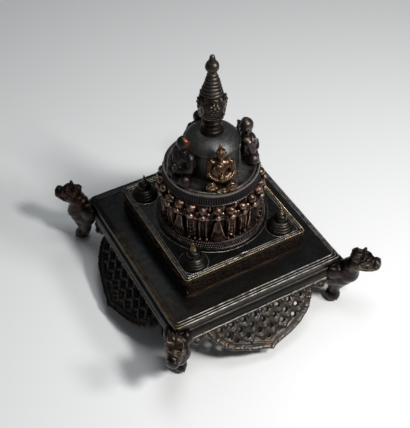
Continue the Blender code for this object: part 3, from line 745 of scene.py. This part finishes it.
def vine_panel(half):
    """Shape one side's scroll on a thin panel that faces -y."""
    panel = bmesh.new()
    middle = (FRIEZE_LOW + FRIEZE_HIGH) / 2
    place = Matrix.Translation((0, 0.9, middle))
    bmesh.ops.create_cube(panel, size=1.0, matrix=place @ Matrix.Diagonal(
        (2 * half, 1.8, FRIEZE_HIGH - FRIEZE_LOW, 1.0)))
    count = round(2 * half / VINE_PITCH)
    pitch = 2 * half / count
    wire(panel, [(-half + 0.5 * pitch * part, -0.1, middle - 2.1) for part in range(2 * count + 1)], 0.5)
    for number in range(count):
        x = -half + (number + 0.5) * pitch
        flip = 1 if number % 2 else -1
        curl(panel, (x, -0.1, middle + flip * 0.8), 2.9, 0.55, turns=1.5, start=90.0 * flip, hand=flip)
        lump(panel, (x, -0.25, middle + flip * 0.8), (0.9, 0.7, 0.9))
        for leaf in range(5):
            angle = radians(72.0 * leaf + 20.0 * number)
            lump(panel, (x + 3.1 * cos(angle), -0.1, middle + 3.4 * sin(angle)), (0.95, 0.55, 0.6),
                 tilt=(0, -degrees(angle), 0))
        lumps(panel, (x + 0.5 * pitch, -0.1, middle - flip * 3.2, 1.3, 0.6, 0.9),
              (x + 0.5 * pitch, -0.1, middle + flip * 3.3, 0.8, 0.6, 0.8), fine=2)
    for height in (FRIEZE_HIGH - 0.4, FRIEZE_LOW + 0.5):
        wire(panel, [(-half, -0.1, height), (half, -0.1, height)], 0.5)
    melt(panel, VINE_GRAIN, settle=1)
    return panel


bm = bmesh.new()
foot = plate(bm, PLATFORM_X + 0.3, PLATFORM_Y + 0.3, PLATFORM_CORNER, 40.7, 41.6)
step(bm, foot, 0.9, 0.4)
cross_cuts(bm, PLATFORM_X, PLATFORM_Y, 5.0)
plate(bm, PLATFORM_X - 1.6, PLATFORM_Y - 1.6, 1.0, 41.4, FRIEZE_HIGH + 0.1)
for sides in (("front", "back"), ("right", "left")):
    half, reach = side_sizes(sides[0], PLATFORM_X, PLATFORM_Y)
    panel = vine_panel(half - 1.0)
    for side in sides:
        copy = panel.copy()
        turn_out(copy, SIDES[side], reach - 1.1)
        join(bm, copy)
    panel.free()
hand_cast(bm, 0.12, 9.0)
cast("vine_frieze_block", bm, frieze_patina, ["upper_platform"], passes=5, keep=0.6)

# The platform's cornice: a plate with two silvery fillets and, along its outer edge, a row of
# beads that polish has worn to the yellow metal. The left side's beads are painted darker brown,
# as shade. Thin rings mark where drum and stupas stand.
CORNICE_LOW = 52.6
BEAD = 0.46
BEAD_PITCH = 0.92
DRUM_RING = 32.9
MINI_X = 27.9
MINI_Y = 30.0
MINI_RING = 8.35
SHADED_BEADS_EDGE = -37.2


def bead_row(bm, path, radius, shade=0):
    """Set small beads along closely spaced points. shade is the number of their finish."""
    bead = bmesh.new()
    bmesh.ops.create_uvsphere(bead, u_segments=8, v_segments=5, radius=radius)
    for face in bead.faces:
        face.material_index = shade
    shape = mesh_of(bead, "bead")
    bead.free()
    last = Vector((0, 0, 0))
    for point in path:
        shape.transform(Matrix.Translation(point - last))
        bm.from_mesh(shape)
        last = point
    bpy.data.meshes.remove(shape)


def ring_path(radius, height, count=72, centre=(0, 0)):
    """List the points of a level circle."""
    return [Vector((centre[0] + radius * cos(2 * pi * part / count),
                    centre[1] + radius * sin(2 * pi * part / count), height)) for part in range(count)]


cornice_patina = bronze("cornice_patina", (0.060, 0.066, 0.066), (0.054, 0.046, 0.036),
                        (0.065, 0.034, 0.020), (0.38, 0.36, 0.34), rough=0.34, bright=0.85, patch_size=40.0)
bead_gold = bronze("bead_gold", (0.20, 0.13, 0.07), (0.26, 0.17, 0.09),
                   (0.060, 0.030, 0.016), (0.66, 0.46, 0.25), rough=0.32)
# A dark brown copy of the bead finish, painted shade for the left side's beads.
bead_painted_shade = bronze("bead_painted_shade", (0.045, 0.030, 0.018), (0.085, 0.054, 0.029),
                    (0.030, 0.015, 0.009), (0.22, 0.155, 0.09), rough=0.42)
bm = bmesh.new()
plate(bm, PLATFORM_X - 0.8, PLATFORM_Y - 0.8, 1.0, CORNICE_LOW, CORNICE_LOW + 0.5)
plate(bm, PLATFORM_X - 0.1, PLATFORM_Y - 0.1, PLATFORM_CORNER, CORNICE_LOW + 0.5, PLATFORM_TOP - 0.5)
cross_cuts(bm, PLATFORM_X, PLATFORM_Y, 3.2)
for inward, radius, rise in ((1.40, 0.38, -0.40), (2.70, 0.28, -0.46)):
    fillet = rounded_path(PLATFORM_X - inward, PLATFORM_Y - inward, 1.6, 2.2, PLATFORM_TOP + rise)
    wire(bm, fillet, radius, closed=True)
wire(bm, ring_path(DRUM_RING, PLATFORM_TOP - 0.50), 0.18, closed=True)
for east, north in CORNERS.values():
    mark = ring_path(MINI_RING, PLATFORM_TOP - 0.50, 40, (east * MINI_X, north * MINI_Y))
    wire(bm, mark, 0.16, closed=True)
dent(bm, (-2.0, -38.4, PLATFORM_TOP), 3.0, lambda point: noise.noise_vector(point * 1.7) * 0.9)
hand_cast(bm, 0.12, 8.0)
row = rounded_path(PLATFORM_X - 0.25, PLATFORM_Y - 0.25, PLATFORM_CORNER, BEAD_PITCH, PLATFORM_TOP - 0.45)
bead_row(bm, row, BEAD, shade=1)
piece = cast("platform_cornice_plate", bm, cornice_patina, ["platform_cornice"])
piece.data.materials.append(bead_gold)
piece.data.materials.append(bead_painted_shade)
# Beads on the left side take the painted-shade finish.
for face in piece.data.polygons:
    if face.material_index == 1 and face.center.x * 1000.0 < SHADED_BEADS_EDGE:
        face.material_index = 2

# The four small stupas: solid turned castings set at the platform's corners, each with four
# round steps under a bell, and a pointed finial that is rubbed golden.
MINI_SEAT = 55.4
MINI_STEPS = ((4.5, 5.4, 4.4, 5.1), (3.1, 4.3, 5.2, 5.9), (1.6, 2.9, 6.1, 6.8), (0.0, 1.4, 6.9, 7.5))


def turned(bm, profile, steps=64, centre=(0, 0)):
    """Spin a profile of (radius, height) points about the upright axis through centre."""
    shell = bmesh.new()
    points = [shell.verts.new((radius, 0.0, height)) for radius, height in profile]
    edges = [shell.edges.new(pair) for pair in zip(points, points[1:])]
    bmesh.ops.spin(shell, geom=points + edges, cent=(0, 0, 0), axis=(0, 0, 1), angle=2 * pi,
                   steps=steps, use_merge=True)
    bmesh.ops.translate(shell, vec=(*centre, 0), verts=shell.verts)
    bmesh.ops.remove_doubles(shell, verts=shell.verts, dist=0.001)
    join(bm, shell)


def spun(profile, steps, shake=0.0, size=1.0):
    """Make a shape of a spun profile, shaken a little as hand_cast() does."""
    bm = bmesh.new()
    turned(bm, profile, steps)
    hand_cast(bm, shake, size)
    return bm


def bulge(low, high, inner, outer, parts=5):
    """List the points of a rounded moulding between two heights, from its top down."""
    return [(inner + (outer - inner) * sin(pi * part / parts),
             high + (low - high) * part / parts) for part in range(parts + 1)]


mini_patina = bronze("mini_patina", (0.040, 0.040, 0.036), (0.066, 0.054, 0.040),
                     (0.050, 0.026, 0.016), (0.50, 0.36, 0.19), rough=0.33)
profile = [(0.0, 15.2), (0.35, 15.0), (0.5, 14.5), (0.38, 14.0), (0.75, 13.5), (0.95, 13.0),
           (0.80, 12.6), (1.05, 12.2)]
for ring in range(3):
    profile += bulge(11.3 - 0.8 * ring, 12.1 - 0.8 * ring, 1.05 + 0.3 * ring, 1.35 + 0.3 * ring, 4)
profile += [(2.2, 9.6), (2.9, 9.3), (3.5, 8.6), (3.85, 7.6), (3.95, 6.4), (3.8, 5.6)]
for low, high, inner, outer in MINI_STEPS:
    profile += bulge(low, high, inner, outer, 4)
profile = [(radius, MINI_SEAT + height) for radius, height in profile + [(0.0, 0.0)]]
for corner, (east, north) in CORNERS.items():
    bm = bmesh.new()
    turned(bm, profile, 40, (east * MINI_X, north * MINI_Y))
    hand_cast(bm, 0.30, 5.0)
    cast(f"small_stupa_{corner}", bm, mini_patina, [f"corner_stupa_{corner}"],
         polish=((62.0, 0.60), (65.5, 0.60), (67.0, 1.0)))

# The drum's foot ring: a low round step, pimpled all over with three rows of cast grains.
# It was spun in wax, and the grains were laid on one by one.
ring_patina = bronze("ring_patina", (0.050, 0.040, 0.040), (0.066, 0.050, 0.044),
                     (0.030, 0.016, 0.012), (0.20, 0.16, 0.14), rough=0.40, bright=0.45)
bm = bmesh.new()
turned(bm, [(0.0, 59.9), (27.0, 59.9), (28.6, 59.8), (29.6, 59.3), (30.4, 58.3), (30.8, 57.2),
            (30.9, 56.4), (31.3, 56.1), (31.3, 55.4), (0.0, 55.4)], 96)
for radius, height, count in ((29.75, 59.15, 150), (30.5, 58.1, 152), (30.85, 57.0, 154)):
    bead_row(bm, ring_path(radius, height, count), 0.56)
hand_cast(bm, 0.12, 3.0)
cast("drum_foot_ring", bm, ring_patina, ["drum_base_ring"])

# The drum's wall: a plain cylinder that shows only between the standing figures. Its bronze is
# nearly black there.
DRUM_LOW = 59.8
DRUM_HIGH = 85.6
wall_patina = bronze("wall_patina", (0.016, 0.014, 0.013), (0.030, 0.020, 0.015),
                     (0.014, 0.008, 0.006), (0.12, 0.09, 0.07), rough=0.5)
profile = [(0.0, DRUM_HIGH), (24.2, DRUM_HIGH), (24.2, 72.0), (24.2, DRUM_LOW), (0.0, DRUM_LOW)]
cast("drum_wall", spun(profile, 72, 0.1, 6.0), wall_patina, ["drum_core"])

# The standing figures: six on each quarter of the drum, hands joined, by turns in a long flared
# skirt, in a robe or with bare legs. Their heads and hands are rubbed golden, the rest is red-brown.
FIGURES_PER_SIDE = 6
FIGURE_SEED = 40
FIGURE_GRAIN = 0.36
FIGURE_RADIUS = 25.9
SKIN_IN = 23.6
SKIN_OUT = 25.4
figure_patina = bronze("figure_patina", (0.135, 0.074, 0.066), (0.220, 0.098, 0.076),
                       (0.014, 0.007, 0.005), (0.50, 0.33, 0.22), rough=0.34, patch_size=150.0)


def skirt(bm):
    """Shape a long flared skirt with folds and a hem."""
    place = Matrix.Translation((0, -0.9, 8.2)) @ Matrix.Diagonal((1.0, 0.60, 1.0, 1.0))
    bmesh.ops.create_cone(bm, cap_ends=True, segments=16, radius1=4.3, radius2=1.7, depth=15.6, matrix=place)
    for fold in (-2, -1, 1, 2):
        wire(bm, [(0.5 * fold, -1.9, 15.0), (1.1 * fold, -2.6, 8.0),
                  (1.95 * fold, -3.1 + 0.4 * abs(fold), 1.0)], 0.55)
    lump(bm, (0, -2.6, 5.2), (1.0, 0.7, 3.6))
    wire(bm, [(-4.4, -1.4, 0.9), (-1.9, -3.2, 0.7), (1.9, -3.2, 0.7), (4.4, -1.4, 0.9)], 0.6)


def legs(bm, robed):
    """Shape two legs with hanging sashes. A robe adds its folds across them."""
    stout = 1.08 if robed else 0.95
    for side in (-1, 1):
        rod(bm, (side * 1.5, -1.2, 15.4), (side * 1.7, -1.7, 8.4), 1.85 * stout, 1.35 * stout)
        rod(bm, (side * 1.7, -1.7, 8.4), (side * 1.7, -1.4, 1.2), 1.45 * stout, 1.0 * stout)
        lump(bm, (side * 1.8, -2.3, 0.8), (1.1, 1.7, 0.8))
    for fold in range(4 if robed else 0):
        height = 12.8 - 2.9 * fold
        wire(bm, [(-3.0, -1.6, height + 0.8), (0, -3.4, height - 0.5), (3.0, -1.6, height + 0.8)], 0.5)
    wire(bm, [(0.3, -2.4, 15.6), (-0.2, -2.7, 10.5), (0.3, -2.2, 4.5)], 0.6)
    for side in (-1, 1):
        wire(bm, [(side * 1.8, -3.1, 14.6), (side * 1.9, -3.3, 8.6), (side * 1.9, -2.5, 2.6)], 0.42)


def standing_figure(bm, dress, lean):
    """Shape one figure that faces -y, its feet at z = 0. dress is skirt, robe or legs."""
    if dress == "skirt":
        skirt(bm)
    else:
        legs(bm, dress == "robe")
    lump(bm, (0, -1.0, 15.8), (2.7, 1.9, 1.7))
    wire(bm, [(-2.6, -1.3, 16.4), (0, -3.0, 15.9), (2.6, -1.3, 16.4)], 0.5)
    lumps(bm, (0, -1.0, 18.0, 2.4, 1.8, 2.3), (0, -0.9, 19.4, 3.1, 1.6, 1.3), fine=2)
    for side in (-1, 1):
        rod(bm, (side * 2.8, -1.1, 19.4), (side * 2.9, -2.3, 16.9), 1.15, 0.95)
        rod(bm, (side * 2.9, -2.3, 16.9), (side * 0.7, -4.0, 19.0), 0.95, 0.85)
    lumps(bm, (0, -4.2, 19.3, 1.85, 1.4, 1.75), (lean, -1.9, 22.9, 2.6, 2.55, 2.6))
    lump(bm, (lean, -4.3, 22.5), (0.42, 0.45, 0.60))
    lumps(bm, (lean, -1.4, 23.9, 2.65, 2.4, 1.5))


def drum_quarter(number):
    """Shape a quarter of the drum's skin with its six figures."""
    wax = bmesh.new()
    sweep = pi / 2 - 0.012
    start = -pi / 2 - sweep / 2
    low, high = DRUM_LOW + 0.1, DRUM_HIGH - 0.2
    corners = [wax.verts.new((radius * cos(start), radius * sin(start), height))
               for radius, height in ((SKIN_IN, low), (SKIN_OUT, low), (SKIN_OUT, high), (SKIN_IN, high))]
    outline = [wax.edges.new((corners[i - 1], corners[i])) for i in range(4)]
    bmesh.ops.spin(wax, geom=outline, cent=(0, 0, 0), axis=(0, 0, 1), angle=sweep, steps=24)
    close(wax)
    bmesh.ops.recalc_face_normals(wax, faces=wax.faces)
    draw = random.Random(FIGURE_SEED + number)
    for place in range(FIGURES_PER_SIDE):
        figure = bmesh.new()
        dress = ("legs", "robe", "skirt")[(2 * place + number) % 3]
        standing_figure(figure, dress, draw.uniform(-0.55, 0.55))
        size = draw.uniform(0.93, 1.01)
        aside = draw.uniform(-1.2, 1.2)
        turn = radians((place - (FIGURES_PER_SIDE - 1) / 2) * 90.0 / FIGURES_PER_SIDE + aside)
        spot = Matrix.Rotation(turn, 4, "Z") @ Matrix.Translation((0, -FIGURE_RADIUS, low))
        bmesh.ops.transform(figure, matrix=spot @ Matrix.Scale(size, 4), verts=figure.verts)
        join(wax, figure)
        if place < FIGURES_PER_SIDE - 1:
            between_them = Matrix.Rotation(turn + radians(45.0 / FIGURES_PER_SIDE), 4, "Z")
            lump(wax, between_them @ Vector((0, -25.6, DRUM_LOW + 22.4)), (1.2, 1.2, 2.2))
    melt(wax, FIGURE_GRAIN)
    return wax


for number, (side, heading) in enumerate(SIDES.items()):
    bm = drum_quarter(number)
    turn_out(bm, heading, 0.0)
    hand_cast(bm, 0.30, 5.0)
    cast(f"standing_figures_{side}", bm, figure_patina, [f"figure_frieze_{side}"],
         passes=7, reach=0.00016, keep=0.6,
         polish=((61.0, 0.10), (64.5, 0.85), (72.0, 0.85), (74.5, 0.6), (78.0, 0.85)))

# The fluted band over the figures: fine upright flutes between two fillets, cast with the drum.
# It is dark, with a dull shine on its ridges.
FLUTES = 128
FLUTE_STEPS = 3
FLUTE_DEPTH = 0.014
band_patina = bronze("band_patina", (0.046, 0.038, 0.038), (0.060, 0.046, 0.040),
                     (0.018, 0.010, 0.008), (0.24, 0.19, 0.18), rough=0.40, bright=0.5)
bm = bmesh.new()
turned(bm, [(0.0, 91.2), (25.5, 91.2), (25.8, 91.0), (25.8, 90.7), (25.5, 90.4), (25.7, 89.6),
            (26.6, 86.9), (26.9, 86.3), (27.2, 86.1), (27.2, 85.8), (26.9, 85.5), (0.0, 85.5)],
       FLUTES * FLUTE_STEPS)
for vert in bm.verts:
    if 86.5 < vert.co.z < 90.3 and vert.co.xy.length > 20.0:
        vert.co.xy *= 1.0 + FLUTE_DEPTH * cos(FLUTES * atan2(vert.co.y, vert.co.x))
hand_cast(bm, 0.12, 6.0)
cast("fluted_drum_band", bm, band_patina, ["fluted_band"])

# The terrace round the dome: a flat mauve-grey ring with a doubled lip, where the figures sit.
# It is cast with the drum.
terrace_patina = bronze("terrace_patina", (0.760, 0.600, 0.580), (0.590, 0.640, 0.570),
                        (0.040, 0.022, 0.020), (0.24, 0.20, 0.19), rough=0.34, bright=0.25, patch_size=60.0)
profile = [(0.0, 92.75), (12.0, 92.75), (16.0, 92.75), (20.0, 92.75), (23.4, 92.75), (23.8, 93.0),
           (24.2, 93.1), (24.6, 93.0), (24.9, 92.75), (25.5, 92.8), (25.9, 93.1), (26.3, 93.05),
           (26.5, 92.7), (26.5, 91.9), (26.2, 91.5), (0.0, 91.5)]
cast("terrace_ring", spun(profile, 120, 0.14, 7.0), terrace_patina, ["terrace"])

# The dome: a tall drum-like wall that leans out to a thin lip, under a low polished cap.
# The wall keeps a blue-grey patina.
dome_patina = bronze("dome_patina", (0.240, 0.250, 0.255), (0.290, 0.255, 0.205),
                     (0.030, 0.018, 0.012), (0.30, 0.22, 0.13), rough=0.46, bright=0.8)
profile = [(0.0, 116.3), (5.0, 116.3), (6.6, 116.1), (8.5, 115.6), (10.4, 114.8), (12.2, 113.7),
           (13.6, 112.5), (14.6, 111.3), (15.1, 110.6), (15.45, 110.4), (15.6, 110.0), (15.5, 109.5),
           (15.1, 109.1), (14.9, 108.2), (14.8, 104.0), (14.8, 99.0), (14.9, 94.4), (15.2, 93.4),
           (15.2, 92.6), (0.0, 92.6)]
cast("dome_body", spun(profile, 96, 0.16, 8.0), dome_patina, ["dome"],
     polish=((109.0, 0.35), (111.0, 0.35), (112.0, 0.9)))

# The stepped neck between the dome and the square box above it: three rounded rings that shrink
# upward, on a flared foot.
neck_patina = bronze("neck_patina", (0.046, 0.042, 0.038), (0.080, 0.054, 0.036),
                     (0.040, 0.020, 0.013), (0.30, 0.24, 0.17), rough=0.40, bright=0.15)
profile = [(0.0, 123.9), (4.8, 123.9)] + bulge(122.2, 123.7, 4.8, 5.3) + [(4.7, 122.0), (4.6, 120.6)]
profile += bulge(118.9, 120.3, 4.8, 5.2) + [(5.0, 118.8)] + bulge(117.2, 118.6, 5.5, 6.0)
profile += [(6.3, 117.0), (6.6, 116.4), (6.6, 115.9), (0.0, 115.9)]
cast("dome_neck", spun(profile, 64, 0.22, 5.0), neck_patina, ["dome_collar"])

# The four seated figures: cast apart and set on the terrace against the dome, each cross-legged
# with joined hands. The front one has a pointed crown and is rubbed golden, and the left one's
# head is coppery on the side toward the lamps, copper colour with painted light. They aren't quite
# square to the plinth, so each has its own angle and facing.
SEATED_GRAIN = 0.28
SEATED_RADIUS = 16.3
SEATED_BASE = 93.0
SEATED_SIZE = {"front": 1.12, "right": 1.18, "back": 1.00, "left": 1.18}
SEATED_RISE = {"front": 0.28, "right": 0.18, "back": 0.10, "left": 0.24}
SEATS = {"front": (-104.0, -112.0), "right": (-18.0, -20.0), "back": (83.0, 86.0), "left": (190.0, 192.0)}
SEATED_RUB = {"front": (1.0, 0.8), "right": (0.8, 1.0), "back": (0.1, 0.1), "left": (0.5, 0.5)}
# The left head's coppery side toward the lamps: copper colour and painted light.
LIT_COPPER_FROM = 113.6
LIT_COPPER_TOWARD = Vector((0.87, -0.45, 0.2))
LIT_COPPER_PAST = 1.0
seated_patina = bronze("seated_patina", (0.260, 0.150, 0.084), (0.360, 0.185, 0.092),
                       (0.018, 0.009, 0.005), (0.66, 0.46, 0.24), rough=0.32, patch_size=170.0)
dull_patina = bronze("dull_patina", (0.100, 0.082, 0.080), (0.150, 0.090, 0.086),
                     (0.018, 0.009, 0.006), (0.58, 0.46, 0.34), patch_size=130.0)
mauve_patina = bronze("mauve_patina", (0.190, 0.150, 0.150), (0.260, 0.170, 0.160),
                      (0.018, 0.009, 0.006), (0.60, 0.48, 0.36), rough=0.40, patch_size=130.0)
copper_and_painted_light = bronze("copper_and_painted_light", (0.300, 0.095, 0.050), (0.460, 0.190, 0.105),
                       (0.050, 0.012, 0.006), (0.70, 0.42, 0.26), rough=0.40, patch_size=240.0)


def seated_half(bm, side):
    """Add one side's leg, arm, armlet, hanging chain, sleeve, ear and brow."""
    forward = 5.3 + 0.4 * side
    rod(bm, (side * 1.9, -3.0, 1.9), (side * 4.6, -forward + 0.6, 2.2), 2.4, 2.4)
    rod(bm, (side * 4.4, -forward - 0.6, 1.6), (side * -1.4, -7.4, 1.2), 1.7, 1.3)
    lumps(bm, (side * 4.7, -forward, 2.7, 3.0, 2.8, 2.8))
    for fold in range(3):
        bend = 0.20 + 0.36 * fold
        wire(bm, [(side * 4.7 + 3.0 * sin(bend) * cos(radians(turn)), -forward - 2.8 * cos(bend) + 0.06,
                   2.7 + 2.8 * sin(bend) * sin(radians(turn))) for turn in range(-60, 241, 30)], 0.26)
    lump(bm, (side * -1.2, -7.4, 1.4), (1.7, 0.8, 0.8))
    lumps(bm, (side * 4.0, -1.9, 12.3, 2.0, 1.9, 1.6))
    rod(bm, (side * 4.8, -2.3, 11.7), (side * 5.8, -3.8, 8.0), 1.8, 1.6)
    rod(bm, (side * 5.8, -3.8, 8.0), (side * 0.9, -6.9, 6.9), 1.6, 1.2)
    wire(bm, [(side * 6.2, -1.4, 10.9), (side * 5.6, -3.9, 10.2), (side * 3.6, -3.7, 10.8)], 0.42)
    for link in range(10):
        swing = radians(10.0 * link)
        lump(bm, (side * 6.4 * cos(swing), -3.4 - 4.5 * sin(swing), 10.0 - 2.8 * sin(swing)),
             (0.56, 0.56, 0.52))
    lump(bm, (side * 5.0, -0.9, 9.6), (1.6, 0.8, 2.6), tilt=(0, side * 12, 0))
    lumps(bm, (side * 2.3, -2.6, 16.0, 0.5, 0.8, 1.3), (side * 0.85, -4.85, 16.8, 0.50, 0.32, 0.24), fine=2)


def seated_figure(bm, crowned):
    """Shape one seated figure that faces -y, its back at y = 0 and its seat at z = 0."""
    lumps(bm, (0, -2.9, 0.6, 5.2, 2.9, 1.1))
    for side in (-1, 1):
        seated_half(bm, side)
    lumps(bm, (0, -2.6, 5.0, 4.0, 3.0, 3.4), (0, -2.5, 8.4, 3.9, 2.9, 3.9), (0, -2.5, 11.3, 4.9, 2.8, 2.7),
          (-1.2, -4.5, 9.8, 3.5, 2.4, 3.5))
    wire(bm, [(-3.6, -5.4, 12.2), (-1.4, -6.9, 10.4), (1.0, -7.0, 7.6)], 0.45)
    wire(bm, [(-2.2, -5.6, 12.6), (0.2, -6.6, 10.6), (1.8, -6.4, 8.2)], 0.35)
    lumps(bm, (0.2, -4.2, 6.2, 3.6, 2.6, 2.6))
    wire(bm, [(-3.2, -2.9, 4.6), (-1.6, -4.4, 4.2), (1.6, -4.4, 4.2), (3.2, -2.9, 4.6)], 0.42)
    for link in range(9):
        turn = radians(200.0 + 17.5 * link)
        lump(bm, (3.0 * cos(turn), -4.0 + 0.5 * abs(cos(turn)), 12.4 + 2.6 * sin(turn)), (0.42, 0.42, 0.42))
    lump(bm, (0, -4.7, 9.6), (0.7, 0.6, 0.9))
    lumps(bm, (0, -7.4, 7.3, 1.4, 1.2, 1.7))
    lump(bm, (0, -7.7, 8.7), (0.85, 0.7, 1.2))
    rod(bm, (0, -2.1, 12.6), (0, -2.6, 14.8), 1.6, 1.4)
    lumps(bm, (0, -2.8, 16.4, 2.15, 2.3, 2.4))
    lumps(bm, (0, -5.1, 16.0, 0.36, 0.42, 0.60), (0, -4.8, 15.0, 0.60, 0.34, 0.22), fine=2)
    lumps(bm, (0, -2.6, 18.0, 2.15, 2.15, 0.6))
    if not crowned:
        lumps(bm, (0, -2.2, 17.2, 3.1, 3.1, 2.9))
        return
    for leaf in range(5):
        turn = radians(-90.0 + 48.0 * (leaf - 2))
        spot = (1.8 * cos(turn), -2.5 + 1.8 * sin(turn), 18.4 - 0.2 * abs(leaf - 2))
        lump(bm, spot, (0.62, 0.40, 0.8 - 0.1 * abs(leaf - 2)), tilt=(0, 0, degrees(turn) + 90.0))
    rod(bm, (0, -2.2, 18.2), (0, -2.0, 19.8), 1.45, 0.95)
    rod(bm, (0, -2.0, 19.8), (0, -1.9, 21.0), 0.85, 0.42)


for side, (angle, facing) in SEATS.items():
    bm = bmesh.new()
    seated_figure(bm, side == "front")
    for vert in bm.verts:
        vert.co.z += SEATED_RISE[side] * max(0.0, vert.co.z - 3.5)
    melt(bm, SEATED_GRAIN)
    seat = (SEATED_RADIUS * cos(radians(angle)), SEATED_RADIUS * sin(radians(angle)), SEATED_BASE)
    place = Matrix.Translation(seat) @ Matrix.Rotation(radians(facing + 90.0), 4, "Z")
    bmesh.ops.transform(bm, matrix=place @ Matrix.Scale(SEATED_SIZE[side], 4), verts=bm.verts)
    hand_cast(bm, 0.40, 5.0)
    low, high = SEATED_RUB[side]
    patina = {"front": seated_patina, "right": mauve_patina}.get(side, dull_patina)
    piece = cast(f"seated_figure_cast_{side}", bm, patina, [f"seated_figure_{side}"],
                 passes=8, reach=0.00018, keep=0.7,
                 polish=((97.5, low), (101.0, 0.75 * low), (107.0, 0.75 * low), (109.5, high)))
    # Paint the left head's side toward the lamps coppery: copper colour and painted light.
    if side == "left":
        piece.data.materials.append(copper_and_painted_light)
        head = [face for face in piece.data.polygons if face.center.z * 1000.0 > LIT_COPPER_FROM]
        middle = sum((face.center for face in head), Vector()) / len(head)
        for face in head:
            if (face.center - middle).dot(LIT_COPPER_TOWARD) * 1000.0 > LIT_COPPER_PAST:
                face.material_index = 1

# The square box under the spire, nearly hidden by its plaques. It stands on a ringed foot of its own
# that continues the neck, and is turned a little against the plinth.
BOX_LOW = 124.0
BOX_HIGH = 140.5
BOX_TURN = -24.0
box_patina = bronze("box_patina", (0.032, 0.031, 0.029), (0.055, 0.042, 0.032),
                    (0.025, 0.013, 0.009), (0.30, 0.23, 0.16), rough=0.40, bright=0.15)
bm = bmesh.new()
plate(bm, 5.8, 5.8, 1.6, BOX_LOW + 3.6, BOX_HIGH - 2.4)
top = plate(bm, 6.0, 6.0, 1.8, BOX_HIGH - 3.2, BOX_HIGH - 1.4)
step(bm, top, 0.8, 0.7)
step(bm, top, 0.6, 0.5)
cross_cuts(bm, 6.6, 6.6, 1.6)
bmesh.ops.rotate(bm, cent=(0, 0, 0), matrix=Matrix.Rotation(radians(BOX_TURN), 3, "Z"), verts=bm.verts)
profile = [(0.0, BOX_LOW + 4.2), (4.9, BOX_LOW + 4.2)] + bulge(BOX_LOW + 2.3, BOX_LOW + 3.7, 5.0, 5.4)
profile += [(4.9, BOX_LOW + 2.1)] + bulge(BOX_LOW + 0.3, BOX_LOW + 1.7, 4.8, 5.2)
turned(bm, profile + [(4.6, BOX_LOW), (0.0, BOX_LOW)], 64)
hand_cast(bm, 0.25, 4.0)
cast("square_box", bm, box_patina, ["harmika"])

# The four plaques on the box: bulging petals, each with a raised rim, smaller rims inside it and a
# flower above them, cast apart and fixed to the box. They stand out past it and hide its faces.
PLAQUE_GRAIN = 0.26
PLAQUE_MIDDLE = 133.8
plaque_patina = bronze("plaque_patina", (0.070, 0.052, 0.042), (0.130, 0.072, 0.054),
                       (0.016, 0.009, 0.006), (0.34, 0.28, 0.20), rough=0.36, bright=0.4, patch_size=150.0)


def petal_plaque(bm):
    """Shape one plaque that faces -y, its middle at the origin."""
    lumps(bm, (0, 1.0, 0.6, 6.2, 2.2, 5.6), (0, 1.3, -2.2, 5.4, 2.2, 4.6))
    for share, thick in ((1.0, 0.58), (0.76, 0.40), (0.52, 0.40), (0.28, 0.40)):
        wire(bm, [(6.1 * share * sin(radians(turn)),
                   -0.2 - 1.7 * (1.0 - share) + 1.1 * abs(sin(radians(turn))) ** 3,
                   -0.2 - 6.2 * share * cos(radians(turn))) for turn in range(-116, 117, 8)], thick)
    for petal in range(7):
        turn = 2 * pi * petal / 7
        lump(bm, (0.6 + 2.0 * cos(turn), -1.2, 1.9 + 2.0 * sin(turn)), (0.95, 0.6, 0.75),
             tilt=(0, -degrees(turn), 0))
    lump(bm, (0.6, -1.4, 1.9), (1.0, 0.9, 1.0))


wax_plaque = bmesh.new()
petal_plaque(wax_plaque)
melt(wax_plaque, PLAQUE_GRAIN)
for side, heading in SIDES.items():
    bm = wax_plaque.copy()
    bmesh.ops.translate(bm, vec=(0, 0, PLAQUE_MIDDLE), verts=bm.verts)
    turn_out(bm, heading + BOX_TURN, 6.0)
    hand_cast(bm, 0.30, 4.0)
    cast(f"petal_plaque_{side}", bm, plaque_patina, [f"harmika_plaque_{side}"],
         passes=6, reach=0.00012, keep=0.7)
wax_plaque.free()

# The spire: seven solid rings that shrink upward, turned by hand and a little uneven. Their
# bronze is a plain grey-brown.
SPIRE_LOW = 140.2
SPIRE_HIGH = 152.8
SPIRE_RINGS = 7
spire_patina = bronze("spire_patina", (0.170, 0.152, 0.128), (0.220, 0.165, 0.125),
                      (0.030, 0.016, 0.010), (0.34, 0.29, 0.23), rough=0.42, bright=0.15)
pitch = (SPIRE_HIGH - SPIRE_LOW) / SPIRE_RINGS
profile = [(0.0, SPIRE_HIGH), (2.0, SPIRE_HIGH)]
for ring in range(SPIRE_RINGS):
    radius = 2.75 + 3.15 * (ring / (SPIRE_RINGS - 1)) ** 0.95
    upper = SPIRE_HIGH - ring * pitch
    profile += bulge(upper - 0.94 * pitch, upper - 0.06 * pitch, radius - 0.62, radius, 7)
profile += [(5.0, SPIRE_LOW), (0.0, SPIRE_LOW)]
cast("ringed_spire", spun(profile, 56, 0.34, 4.0), spire_patina, ["spire_rings"])

# The finial: a squat vase that grows out of the spire, and above it a small round-topped bud.
# Both have the spire's bronze.
profile = [(0.0, 160.0), (1.5, 160.0), (1.9, 159.6), (2.4, 159.2), (3.0, 158.5), (3.45, 157.6),
           (3.62, 156.7), (3.55, 155.9), (3.2, 155.1), (2.75, 154.4), (2.55, 153.9),
           (2.5, 153.4), (2.55, 152.9), (0.0, 152.7)]
cast("finial_vase_cast", spun(profile, 48, 0.26, 3.5), spire_patina, ["finial_vase"])
profile = [(0.0, 163.5), (0.55, 163.4), (1.0, 163.05), (1.3, 162.5), (1.45, 161.9), (1.6, 161.2),
           (1.75, 160.6), (1.95, 160.0), (2.2, 159.5), (2.2, 159.3), (0.0, 159.3)]
cast("finial_knob", spun(profile, 40), spire_patina, ["finial_tip"])

# Size of the finished model.
low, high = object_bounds()
